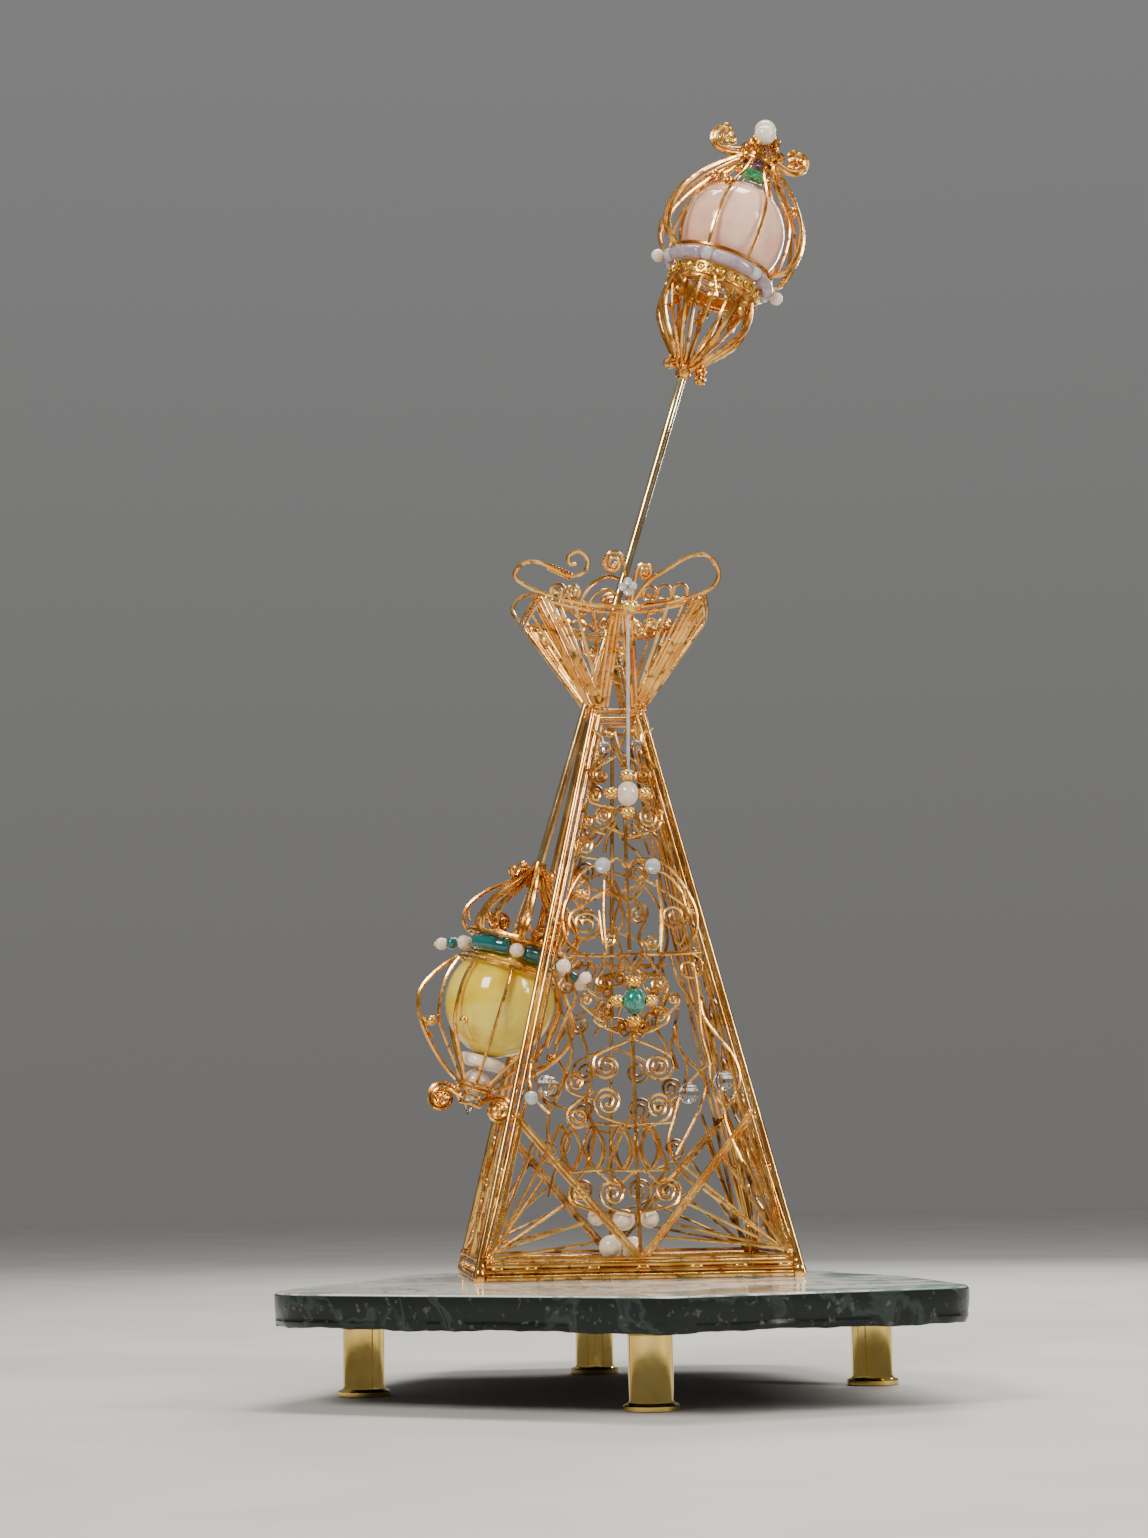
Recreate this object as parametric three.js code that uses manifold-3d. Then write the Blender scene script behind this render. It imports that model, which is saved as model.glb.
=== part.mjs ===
// A jeweller's wirework sceptre leaning in its own gilt wire tower, on a polished stone slab
// with four short brass tube feet. Millimetres, +Z up, origin at the bottom centre of the bounding box.
import * as THREE from 'three';
import { mergeVertices } from 'three/addons/utils/BufferGeometryUtils.js';
import Module from 'manifold-3d';

const wasm = await Module();
wasm.setup();

// ---------------------------------------------------------------- driving dimensions
const GAP = 0.3; // clearance between pieces that touch

const slab = { top: 51.6, thickness: 16, bevel: 1.2 };
const foot = { tube: 10, flange: 12.5, flangeHeight: 3, spacing: 123, centre: [10.5, 8] };

const tower = {
  axis: [22.8, 91],
  waist: 342.6,
  rim: 402,
  baseHalf: [81, 70],
  waistHalf: [12.8, 13.2],
  rimHalf: [44.4, 44.4],
};
const railHeight = 9.2;
const wireRadius = { post: 1.7, rail: 1.7, fan: 1.1, rim: 1.3, filigree: 0.9, rib: 1.1 };

const sceptre = {
  foot: [-39.9, 91, 192], // centre of the pommel orb
  tilt: 17, // degrees from upright
  headLean: 3, // the head leans a little further than the rod
  collar: 353, // rod length from the pommel orb's centre to the head's collar
  rod: 2.3,
  orb: 29,
  headOrb: 81.6, // above the head's collar
};

// ---------------------------------------------------------------- materials
const finish = (color, roughness, metalness) =>
  new THREE.MeshStandardMaterial({ color, roughness, metalness });
const gilt = finish(0xd9a441, 0.25, 1);
const brass = finish(0xc99a3a, 0.15, 1);
const stone = finish(0x39463f, 0.3, 0);
const roseQuartz = finish(0xf2d3cf, 0.25, 0);
const calcite = finish(0xf2cf4a, 0.25, 0);
const malachite = finish(0x1b7f78, 0.25, 0);
const amethyst = finish(0xb9a0cf, 0.3, 0);
const pearl = finish(0xf6f0e2, 0.25, 0);
const crystal = finish(0xe6eef2, 0.08, 0);

// ---------------------------------------------------------------- solids
function solidOf(geometry) {
  const bare = geometry.clone();
  bare.deleteAttribute('normal');
  bare.deleteAttribute('uv');
  const merged = mergeVertices(bare, 1e-4);
  const index = merged.index.array;
  const triangles = [];
  for (let i = 0; i < index.length; i += 3) {
    const [a, b, c] = [index[i], index[i + 1], index[i + 2]];
    if (a !== b && b !== c && c !== a) triangles.push(a, b, c);
  }
  const vertProperties = new Float32Array(merged.attributes.position.array);
  const triVerts = new Uint32Array(triangles);
  return new wasm.Manifold(new wasm.Mesh({ numProp: 3, vertProperties, triVerts }));
}

function geometryOf(solid) {
  const mesh = solid.getMesh();
  const geometry = new THREE.BufferGeometry();
  geometry.setAttribute('position', new THREE.BufferAttribute(new Float32Array(mesh.vertProperties), 3));
  geometry.setIndex(new THREE.BufferAttribute(new Uint32Array(mesh.triVerts), 1));
  return geometry;
}

// One closed body from geometries that overlap where the real pieces are soldered.
function fuse(geometries) {
  const solid = geometries.map(solidOf).reduce((whole, next) => whole.add(next));
  return geometryOf(solid);
}

const vector = (p) => new THREE.Vector3(...p);

// A straight wire between two points.
function bar(from, to, radius, sides = 6) {
  const [a, b] = [vector(from), vector(to)];
  const geometry = new THREE.CylinderGeometry(radius, radius, a.distanceTo(b), sides);
  geometry.rotateX(Math.PI / 2);
  const turn = new THREE.Quaternion().setFromUnitVectors(
    new THREE.Vector3(0, 0, 1), b.clone().sub(a).normalize());
  geometry.applyQuaternion(turn);
  geometry.translate(...a.add(b).multiplyScalar(0.5).toArray());
  return geometry;
}

// A bent wire through the given points.
function wire(points, radius, steps = points.length + 2, sides = 3) {
  const section = new THREE.Shape();
  for (let i = 0; i < sides; i += 1) {
    const turn = (2 * Math.PI * (i + 0.5)) / sides;
    const [x, y] = [radius * Math.cos(turn), radius * Math.sin(turn)];
    if (i === 0) section.moveTo(x, y);
    else section.lineTo(x, y);
  }
  const path = new THREE.CatmullRomCurve3(points.map(vector), false, 'centripetal');
  return new THREE.ExtrudeGeometry(section, { steps, bevelEnabled: false, extrudePath: path });
}

function bead(centre, radius, sides = 6) {
  const geometry = new THREE.SphereGeometry(radius, sides, Math.round(sides * 0.6));
  geometry.rotateX(Math.PI / 2);
  geometry.translate(...centre);
  return geometry;
}

function ring(radius, tube, height, sides = 3, steps = 16) {
  const geometry = new THREE.TorusGeometry(radius, tube, sides, steps);
  geometry.translate(0, 0, height);
  return geometry;
}

// A turned solid from (radius, height) pairs that start and end on the axis or close on themselves.
function turned(profile, sides) {
  const points = profile.map(([radius, height]) => new THREE.Vector2(radius, height));
  const geometry = new THREE.LatheGeometry(points, sides);
  geometry.rotateX(Math.PI / 2);
  return geometry;
}

const object = new THREE.Group();

function add(name, geometry, material, parent = object) {
  const mesh = new THREE.Mesh(geometry, material);
  mesh.name = name;
  parent.add(mesh);
  return mesh;
}

// ---------------------------------------------------------------- slab and feet
function slabOutline() {
  const outline = new THREE.Shape();
  outline.moveTo(10.5, -180); // the sharp front corner
  outline.lineTo(136, -140);
  outline.quadraticCurveTo(154.5, -134, 154.5, -104);
  outline.lineTo(151, 6);
  outline.lineTo(134, 62);
  outline.lineTo(126, 140);
  outline.quadraticCurveTo(122, 174, 84, 178);
  outline.lineTo(40, 180);
  outline.lineTo(-58, 176);
  outline.quadraticCurveTo(-84, 172, -91, 140);
  outline.lineTo(-106, 88);
  outline.lineTo(-136, 22);
  outline.quadraticCurveTo(-154.5, -22, -154.5, -44);
  outline.quadraticCurveTo(-154.5, -68, -136, -80);
  outline.closePath();
  return outline;
}

function addSlab() {
  const depth = slab.thickness - 2 * slab.bevel;
  const geometry = new THREE.ExtrudeGeometry(slabOutline(), {
    depth, bevelEnabled: true, bevelSize: slab.bevel, bevelThickness: slab.bevel,
    bevelOffset: -slab.bevel, bevelSegments: 1, curveSegments: 3,
  });
  geometry.translate(0, 0, slab.top - slab.bevel - depth);
  add('stone_slab', geometry, stone);
}

function addFeet() {
  const height = slab.top - slab.thickness - GAP;
  const profile = [
    [0, 0], [foot.flange, 0], [foot.flange, foot.flangeHeight], [foot.tube, foot.flangeHeight],
    [foot.tube, height], [0, height],
  ];
  const places = { front: [0, -1], back: [0, 1], left: [-1, 0], right: [1, 0] };
  for (const [name, [x, y]] of Object.entries(places)) {
    const mesh = add(`foot_${name}`, turned(profile, 14), brass);
    mesh.position.set(foot.centre[0] + x * foot.spacing, foot.centre[1] + y * foot.spacing, 0);
  }
}

// ---------------------------------------------------------------- the tower's four faces
const faces = {
  front: { along: [1, 0], out: [0, -1] },
  right: { along: [0, 1], out: [1, 0] },
  back: { along: [-1, 0], out: [0, 1] },
  left: { along: [0, -1], out: [-1, 0] },
};

const mix = (from, to, share) => from + (to - from) * share;

// Half widths of the tower at a height, along X and Y.
function halfAt(height) {
  if (height > tower.waist) {
    const share = (height - tower.waist) / (tower.rim - tower.waist);
    return [0, 1].map((axis) => mix(tower.waistHalf[axis], tower.rimHalf[axis], share));
  }
  const share = (height - slab.top) / (tower.waist - slab.top);
  return [0, 1].map((axis) => mix(tower.baseHalf[axis], tower.waistHalf[axis], share));
}

// A point on a face: u along it from its middle, its height, and how far it stands out.
function onFace(face, u, height, proud = 0) {
  const [halfX, halfY] = halfAt(height);
  const reach = Math.abs(face.out[0]) * halfX + Math.abs(face.out[1]) * halfY + proud;
  return [
    tower.axis[0] + face.along[0] * u + face.out[0] * reach,
    tower.axis[1] + face.along[1] * u + face.out[1] * reach,
    height,
  ];
}

const widthOf = (face, height) => {
  const [halfX, halfY] = halfAt(height);
  return Math.abs(face.along[0]) * halfX + Math.abs(face.along[1]) * halfY;
};

// ---------------------------------------------------------------- posts, rails and waist
function addPosts() {
  const corners = {
    front_left: [-1, -1], front_right: [1, -1], back_left: [-1, 1], back_right: [1, 1],
  };
  const foot = slab.top + GAP;
  const head = tower.waist - 2;
  const sleeve = 84;
  for (const [name, [sideX, sideY]] of Object.entries(corners)) {
    const corner = (height, inward = 0) => {
      const [halfX, halfY] = halfAt(height);
      return [
        tower.axis[0] + sideX * (halfX - inward), tower.axis[1] + sideY * (halfY - inward), height,
      ];
    };
    const solder = new THREE.CylinderGeometry(2.6, 5, sleeve - foot, 6);
    solder.rotateX(Math.PI / 2);
    const middle = corner((sleeve + foot) / 2);
    const lean = new THREE.Vector3(
      middle[0] - corner(foot)[0], middle[1] - corner(foot)[1], middle[2] - foot);
    const shear = new THREE.Matrix4().set(
      1, 0, lean.x / lean.z, middle[0], 0, 1, lean.y / lean.z, middle[1], 0, 0, 1, middle[2], 0, 0, 0, 1);
    solder.applyMatrix4(shear);
    const outer = bar(corner(foot + 2), corner(head), wireRadius.post, 4);
    const inner = bar(corner(foot + 2, 2.2), corner(head, 2.2), wireRadius.post, 4);
    add(`post_${name}`, fuse([solder, outer, inner]), gilt);
  }
}

function addRails() {
  for (const [name, face] of Object.entries(faces)) {
    const reach = widthOf(face, slab.top) - 6.4;
    const [low, high] = [slab.top + GAP + wireRadius.rail, slab.top + GAP + railHeight - wireRadius.rail];
    const rod = (height, radius, sides) => bar(
      onFace(face, -reach, height, -0.5), onFace(face, reach, height, -0.5), radius, sides);
    const strip = rod((low + high) / 2, 2.2, 4);
    add(`base_rail_${name}`, fuse([rod(low, wireRadius.rail, 4), strip, rod(high, wireRadius.rail, 4)]), gilt);
  }
}

function addWaist() {
  const radius = 0.9;
  const sides = Object.values(faces).map((face) => {
    const reach = widthOf(face, tower.waist) + radius * 0.5;
    return bar(onFace(face, -reach, tower.waist), onFace(face, reach, tower.waist), radius, 4);
  });
  add('waist_ring', fuse(sides), gilt);
}

// ---------------------------------------------------------------- crown
// The rim sags between the corners; the rims of the two side faces also bow outward.
const rimHeight = (u) => 392.5 + 7.5 * (u / 44) ** 2;
const rimBow = (name, u) => (name === 'left' || name === 'right' ? 9 * (1 - (u / 41) ** 2) : 0);

function addCrown() {
  const half = 40.6;
  const low = tower.waist + 1.9;
  const corner = tower.waistHalf[0] - 2.4;
  for (const [name, face] of Object.entries(faces)) {
    const onRim = (u) => onFace(face, u, rimHeight(u), rimBow(name, u));
    const parts = [wire([-1, -0.6, 0, 0.6, 1].map((t) => onRim(t * half)), wireRadius.rim, 5, 4)];
    for (const side of [-1, 1]) {
      for (const reach of [half - 0.6, 29, 3.4]) {
        parts.push(bar(onFace(face, side * corner, low), onRim(side * reach), wireRadius.fan, 3));
      }
    }
    if (name === 'front' || name === 'back') parts.push(...crownLoops(face, half));
    add(`crown_${name}`, fuse(parts), gilt);
  }
}

// Long loops that stand on the rim's ends, and small coils along its middle.
function crownLoops(face, half) {
  const place = ([u, height]) => onFace(face, u, height);
  const tip = [half, rimHeight(half)];
  const right = [tip, [49.5, 408], [44, 417], [36, 416.6], [13.5, 404], [5, 393]];
  const left = [[-tip[0], tip[1]], [-56, 407], [-51, 413], [-40, 412.4], [-28, 406.5], [-18, 411],
    [-24, 419], [-29, 414]];
  const coils = [[-4.5, 413.5, 6, 3, 393, 1], [12, 409, 4.6, 6, 393, -1]];
  return [
    wire(right.map(place), 1.1, 8),
    wire(left.map(place), 1.1, 10),
    ...coils.map((shape) => scroll(face, shape, 0.9)),
  ];
}

// ---------------------------------------------------------------- filigree of the faces
// A scroll: a tail from its anchor that winds in to the scroll's centre.
function scroll(face, [u, height, radius, anchorU, anchorHeight, hand], turns = 1.15) {
  const start = Math.atan2(anchorHeight - height, anchorU - u) + hand * 0.9;
  const count = 7;
  const points = [onFace(face, anchorU, anchorHeight)];
  for (let i = 0; i <= count; i += 1) {
    const share = i / count;
    const angle = start + hand * share * turns * 2 * Math.PI;
    const reach = radius * (1 - 0.66 * share);
    points.push(onFace(face, u + reach * Math.cos(angle), height + reach * Math.sin(angle)));
  }
  return wire(points, wireRadius.filigree, 9);
}

// An almond-shaped loop of two bends.
function almond(face, u, height, halfWidth, halfHeight) {
  return [-1, 1].map((side) => wire([-1, 0, 1].map((t) =>
    onFace(face, u + side * halfWidth * (1 - t * t), height + t * (halfHeight + 0.4))),
  wireRadius.filigree, 3));
}

const line = (face, from, to, proud = 0, radius = wireRadius.filigree) =>
  bar(onFace(face, ...from, proud), onFace(face, ...to, proud), radius, 3);

const panelInset = 6.5; // the panels stand inside the posts
const panelFoot = slab.top + GAP + railHeight + 1.2;
const panelHead = 334;
const panelReach = (face, height) => widthOf(face, height) - panelInset;

// One half of a face: its side wire, its arm of the V brace and the wires out of the base corner.
function halfBrace(face, side, top) {
  const foot = [side * panelReach(face, panelFoot), panelFoot];
  const fan = [[0.5, 46], [0.42, 16]].map(([share, rise]) =>
    line(face, foot, [foot[0] * share, panelFoot + rise]));
  return [
    line(face, [side * 1.5, panelFoot], foot),
    line(face, foot, [side * panelReach(face, top), top]),
    line(face, [side * 1.5, panelFoot], [side * panelReach(face, 132), 132], 0, 1.3),
    ...fan,
  ];
}

function panelFrame(face) {
  const reach = panelReach(face, panelHead);
  return [
    line(face, [-2, panelFoot], [2, panelFoot]),
    line(face, [-reach, panelHead], [reach, panelHead]),
    ...[-1, 1].flatMap((side) => halfBrace(face, side, panelHead)),
  ];
}

function addFrontPanel() {
  const face = faces.front;
  const spine = 1.4;
  const parts = [...panelFrame(face), line(face, [spine, panelFoot], [spine, panelHead])];
  const scrolls = [
    [15, 285, 7, spine, 273, 1], [-18, 271, 5.6, spine, 262, -1],
    [-20, 229, 9, spine, 246, 1], [25, 233, 8, spine, 250, -1], [31, 206, 8, 14, 213, 1],
    [14, 156, 7.6, spine, 166, -1], [-12, 156.5, 7.4, spine, 166, 1],
    [13.4, 136.5, 7, spine, 128, 1], [-12, 138, 7, spine, 128, -1],
    [15.5, 93.5, 7, spine, 84, 1], [-12.5, 93.5, 7, spine, 84, -1],
  ];
  scrolls.forEach((shape) => parts.push(scroll(face, shape)));
  for (const u of [-8.5, 11]) parts.push(...almond(face, u, 115.5, 4.4, 11.5));
  parts.push(line(face, [-11, 104.8], [13, 104.8]), line(face, [-36, 213], [36, 213]));
  for (const side of [-1, 1]) {
    const bend = (points, steps) =>
      wire(points.map(([u, height]) => onFace(face, side * u, height)), wireRadius.filigree, steps);
    parts.push(bend([[0, 252], [20, 262], [25, 248], [37, 213]], 7));
    parts.push(bend([[36, 213], [36, 190], [52.5, 158], [45, 136], [36.5, 152], [33, 190]], 10));
  }
  add('filigree_front', fuse(parts), gilt);
}

function addPlainPanel(name) {
  const face = faces[name];
  const parts = [...panelFrame(face), line(face, [0, panelFoot], [0, panelHead])];
  const rows = [[18, 215, 10, 231]];
  for (const side of [-1, 1]) {
    for (const [u, height, radius, anchor] of rows) {
      parts.push(scroll(face, [side * u, height, radius, 0, anchor, -side]));
    }
  }
  add(`filigree_${name}`, fuse(parts), gilt);
}

// The left face stays open above for the pommel, so its brace is two separate halves.
function addLeftBrace() {
  add('brace_left_front', fuse(halfBrace(faces.left, 1, 150)), gilt);
  add('brace_left_back', fuse(halfBrace(faces.left, -1, 150)), gilt);
}

// ---------------------------------------------------------------- gems of the tower
function addGems() {
  const place = (u, height, proud = 0) => onFace(faces.front, u, height, proud);
  const cluster = (name, [u, height], core, small, beads, material) => {
    const proud = wireRadius.filigree + core + GAP;
    const heart = new THREE.SphereGeometry(core, 8, 6);
    heart.scale(0.94, 1, 1.1);
    heart.translate(...place(u, height, proud));
    const around = beads.map(([dx, dz]) => bead(place(u + dx, height + dz, proud), small));
    add(name, fuse([heart, ...around]), material);
  };
  cluster('moonstone_cluster', [2.6, 296.6], 5.8, 3.3, [[0, 9], [-8, 0], [8, 0], [0, -9]], pearl);
  cluster('malachite_cluster', [1.4, 188.6], 6.4, 3.3, [[0, 9], [-8, 0], [8, 0], [0, -9]],
    malachite);
  add('front_needle', bar(place(3, 391, 3.2), place(3, 309.6, 11), 0.9), crystal);
  add('rim_bead', bead(place(3, 391, 9), 4.4), gilt);
  const crystals = {
    crystal_left: [-43.6, 147], crystal_right: [44.6, 148], crystal_inner: [27, 142],
    crystal_upper_left: [-8, 322], crystal_upper_right: [8.6, 323],
  };
  for (const [name, [u, height]] of Object.entries(crystals)) {
    const radius = height > 300 ? 3.4 : 5.4;
    add(name, bead(place(u, height, radius + wireRadius.filigree + 0.8), radius), crystal);
  }
  const behind = -7.6;
  const row = [[-19.7, 82.2, 4.6], [-6.4, 80.5, 5.6], [6.5, 80.8, 4.8]].map(
    ([u, height, radius]) => bead(place(u, height, behind), radius));
  row.push(bar(place(-19, 81.6, behind), place(6, 80.8, behind), 0.7, 3));
  add('pearl_row', fuse(row), pearl);
  const rail = slab.top + GAP + railHeight;
  add('rail_pearls', fuse([
    bead(place(-13.2, rail + 6.4, behind - 1), 6), bead(place(-2.8, rail + 5.8, behind - 1), 5.6)]), pearl);
}

// ---------------------------------------------------------------- the sceptre
// A rib of a cage from (radius, height) pairs, turned to its own bearing.
function rib(profile, bearing, radius = wireRadius.rib, steps = profile.length - 1) {
  const [x, y] = [Math.cos(bearing), Math.sin(bearing)];
  return wire(profile.map(([reach, height]) => [reach * x, reach * y, height]), radius, steps);
}

const bearings = (count) => Array.from({ length: count }, (_, i) => (2 * Math.PI * i) / count);

// A flat scroll that stands in a plane through the sceptre's axis.
function standingScroll([cx, cz], radius, [anchorX, anchorZ], hand) {
  const start = Math.atan2(anchorZ - cz, anchorX - cx) + hand * 0.9;
  const turns = 1.3;
  const count = 9;
  const points = [[anchorX, 0, anchorZ]];
  for (let i = 0; i <= count; i += 1) {
    const share = i / count;
    const angle = start + hand * share * turns * 2 * Math.PI;
    const reach = radius * (1 - 0.7 * share);
    points.push([cx + reach * Math.cos(angle), 0, cz + reach * Math.sin(angle)]);
  }
  return wire(points, 1.2, 13, 4);
}

const sleeve = (inner, outer, low, high) =>
  turned([[inner, low], [outer, low], [outer, high], [inner, high], [inner, low]], 10);

function addPommel(parent) {
  const put = (name, geometry, material) => add(`pommel_${name}`, geometry, material, parent);
  put('orb', bead([0, 0, 0], sceptre.orb, 14), calcite);

  const shoulder = [[3.6, 72], [11, 63.4], [24, 52], [30.5, 41], [29.4, 34], [26.5, 31.4]];
  put('shoulder', fuse([
    sleeve(sceptre.rod + GAP, 4.4, 66, 76),
    ...bearings(8).map((bearing) => rib(shoulder, bearing)),
    ring(26.5, 1.2, 31.5),
  ]), gilt);

  const ringAt = 26.6;
  const strand = [[26, 24.6, 3.8], [31.8, 22.4, 3.4], [37, 20.6, 3.4]];
  const beads = [-1, 1].flatMap((side) => [
    ...strand.map(([reach, height, radius]) => bead([side * reach, 0, height], radius)),
  ]);
  put('bead_ring', fuse([ring(19.9, 3.6, ringAt, 6, 14), ...beads]), malachite);

  const cage = [[27.2, 17], [34, 9], [41, -5], [39, -16], [30, -28.5], [18, -39.5], [9.6, -45]];
  put('cage', fuse([
    ...bearings(8).map((bearing) => rib(cage, bearing)),
    ring(27, 1.2, 17),
    ring(9.9, 1.1, -45, 3, 12),
  ]), gilt);
  put('washer', turned([[0, -35.4], [10.4, -35.4], [12.6, -32.4], [10.4, -29.4], [0, -29.4]], 14), pearl);
  put('end_bead', bead([0, 0, -43], 7.2, 10), pearl);
  put('tip', turned([[0, -60.5], [3.2, -55], [2.2, -50.6], [0, -50.6]], 6), crystal);
  put('scrolls', fuse([
    ring(5, 1.1, -55, 4, 8),
    standingScroll([-15, -55.4], 8, [-4.6, -55], 1),
    standingScroll([15, -53.6], 7.4, [4.6, -55], -1),
  ]), gilt);
}

function addHead(parent) {
  const put = (name, geometry, material) => add(`head_${name}`, geometry, material, parent);
  put('orb', bead([0, 0, sceptre.headOrb], sceptre.orb, 14), roseQuartz);

  const cup = [[3.4, 1], [10, 8], [20.4, 20.5], [25, 29], [25.6, 38], [23.8, 46.4]];
  put('cup', fuse([
    sleeve(sceptre.rod + GAP, 4.4, -4, 4),
    ...bearings(8).map((bearing) => rib(cup, bearing + Math.PI / 8, 1.5)),
    ring(23.8, 1.2, 46.4),
  ]), gilt);

  const spoke = (bearing) => {
    const [x, y] = [Math.cos(bearing), Math.sin(bearing)];
    return bar([23.6 * x, 23.6 * y, 50.4], [10 * x, 10 * y, 52.4], 0.9, 3);
  };
  put('band', fuse([
    turned([[23.2, 48.4], [24.8, 48.4], [24.8, 53.9], [23.2, 53.9], [23.2, 48.4]], 16),
    ...bearings(4).map(spoke), ring(10, 0.9, 52.6, 3, 10),
  ]), gilt);

  const ringAt = 57.5;
  const ends = [-1, 1].map((side) => bead([side * 33.2, 0, ringAt - 1], 3.4));
  put('bead_ring', fuse([ring(27.8, 3.3, ringAt, 6, 16), ...ends]), amethyst);

  const cage = [[28.5, 62.8], [36.4, 67], [40, 76], [38.4, 90], [30, 105], [17, 119], [8, 127]];
  put('cage', fuse([
    ring(28.4, 1.2, 62.8),
    ...bearings(8).map((bearing) => rib(cage, bearing + Math.PI / 8)),
    ring(8, 1.2, 127, 3, 12),
  ]), gilt);
  put('green_bead', bar([-6.5, -1, 115], [6, -3, 114.6], 3.4, 8), malachite);
  put('mauve_bead', bead([2.2, 0, 124.3], 4.8, 8), amethyst);
  put('scrolls', fuse([
    turned([[0, 129.6], [3.6, 129.6], [4.6, 133], [3.2, 136.6], [0, 136.6]], 8),
    standingScroll([-22, 134], 8.6, [-3, 133], -1),
    standingScroll([20.2, 134], 8, [3, 133], 1),
  ]), gilt);
  put('finial_front', bead([-0.6, -5.6, 143], 5.8, 10), pearl);
  put('finial_back', bead([-1.6, 6.2, 147], 5.8, 10), pearl);
}

function addSceptre() {
  const shaft = new THREE.Group();
  shaft.position.set(...sceptre.foot);
  shaft.rotation.y = THREE.MathUtils.degToRad(sceptre.tilt);
  object.add(shaft);
  add('sceptre_rod', bar([0, 0, 38], [0, 0, sceptre.collar + 3], sceptre.rod, 10), gilt, shaft);
  addPommel(shaft);
  const head = new THREE.Group();
  head.position.set(0, 0, sceptre.collar);
  head.rotation.y = THREE.MathUtils.degToRad(sceptre.headLean);
  shaft.add(head);
  addHead(head);
}

addSlab();
addFeet();
addPosts();
addRails();
addWaist();
addCrown();
addFrontPanel();
addPlainPanel('right');
addPlainPanel('back');
addLeftBrace();
addGems();
addSceptre();

export default object;
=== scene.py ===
"""Looks of a gilt wirework sceptre that leans in its own wire tower, on a stone slab with four brass feet.

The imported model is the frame. Every part of it is remade here in finer detail, in the same place,
and stands for its node. Sizes are in millimetres; a mesh is in metres.
"""

import logging
import math
from dataclasses import dataclass, field
from enum import Enum
from typing import Iterable, Sequence

import bpy
from mathutils import Matrix, Vector


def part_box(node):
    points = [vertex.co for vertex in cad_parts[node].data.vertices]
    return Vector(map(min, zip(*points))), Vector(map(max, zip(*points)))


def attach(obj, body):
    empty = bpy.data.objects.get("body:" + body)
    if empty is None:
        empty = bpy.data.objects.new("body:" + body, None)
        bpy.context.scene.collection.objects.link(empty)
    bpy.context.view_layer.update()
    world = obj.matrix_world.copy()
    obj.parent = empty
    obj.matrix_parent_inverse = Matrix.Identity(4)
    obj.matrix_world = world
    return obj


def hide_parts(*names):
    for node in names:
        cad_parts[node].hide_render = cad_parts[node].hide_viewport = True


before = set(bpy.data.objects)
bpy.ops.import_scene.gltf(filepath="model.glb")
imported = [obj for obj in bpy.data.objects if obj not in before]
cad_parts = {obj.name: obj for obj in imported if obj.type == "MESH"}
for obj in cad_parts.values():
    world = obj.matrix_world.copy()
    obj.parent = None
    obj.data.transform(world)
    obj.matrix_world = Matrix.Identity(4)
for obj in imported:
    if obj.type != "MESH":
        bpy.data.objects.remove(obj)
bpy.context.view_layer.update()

log = logging.getLogger("sceptre")

MM = 0.001
BODY = "root"
TURN = 2 * math.pi
Flat = tuple[float, float]
Colour = tuple[float, float, float]


class Slot(Enum):
    """The record's material slots."""

    STONE = "polished_stone"
    BRASS = "brass"
    GILT = "gilt_wire"
    ROSE = "rose_quartz"
    CALCITE = "calcite"
    MALACHITE = "malachite"
    AMETHYST = "amethyst"
    PEARL = "pearl"
    CRYSTAL = "crystal"


class Cut(Enum):
    """How a bead is shaped."""

    ROUND = "round"
    FACETED = "faceted"
    GRAIN = "grain"


# ---------------------------------------------------------------- measures taken from the frame
def middle(node: str) -> Vector:
    """The middle of a node's box, in millimetres."""
    low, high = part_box(node)
    return (low + high) / 2 / MM


def top_of(node: str) -> float:
    """The height of a node's highest point, in millimetres."""
    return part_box(node)[1].z / MM


def mix(start: float, end: float, share: float) -> float:
    """A value part of the way from start to end."""
    return start + (end - start) * share


# ---------------------------------------------------------------- paths
def bend(points: Sequence[Vector], per_span: int = 4, closed: bool = False) -> list[Vector]:
    """A smooth path through points.

    Args:
        points: The places that the path goes through.
        per_span: How many steps lie between two of them.
        closed: Whether the path comes back to its start.

    Returns:
        The points of the path.
    """
    places = [Vector(point) for point in points]
    if len(places) < 3 and not closed:
        return places
    if closed:
        places = [places[-1], *places, places[0], places[1]]
    else:
        places = [places[0] * 2 - places[1], *places, places[-1] * 2 - places[-2]]
    path = []
    for first, start, end, last in zip(places, places[1:], places[2:], places[3:]):
        knots = [0.0]
        for here, there in ((first, start), (start, end), (end, last)):
            knots.append(knots[-1] + max((there - here).length, 1e-4) ** 0.5)
        path += [_blend_span((first, start, end, last), knots, step / per_span) for step in range(per_span)]
    if not closed:
        path.append(places[-2])
    return path


def _blend_span(four: Sequence[Vector], knots: Sequence[float], share: float) -> Vector:
    """The place at a share of the middle span of four points, by repeated blending between the knots."""
    here = mix(knots[1], knots[2], share)
    row = list(four)
    for reach in (1, 2, 3):
        row = [
            row[i].lerp(row[i + 1], (here - knots[low]) / (knots[high] - knots[low]))
            for i in range(len(row) - 1)
            for low, high in [_span_ends(i, reach)]
        ]
    return row[0]


def _span_ends(index: int, reach: int) -> tuple[int, int]:
    """The knots that bound a blend: the outer ones for the first and last blends, the middle span for the rest."""
    if reach == 1:
        return index, index + 1
    if reach == 2:
        return index, index + 2
    return 1, 2


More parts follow.
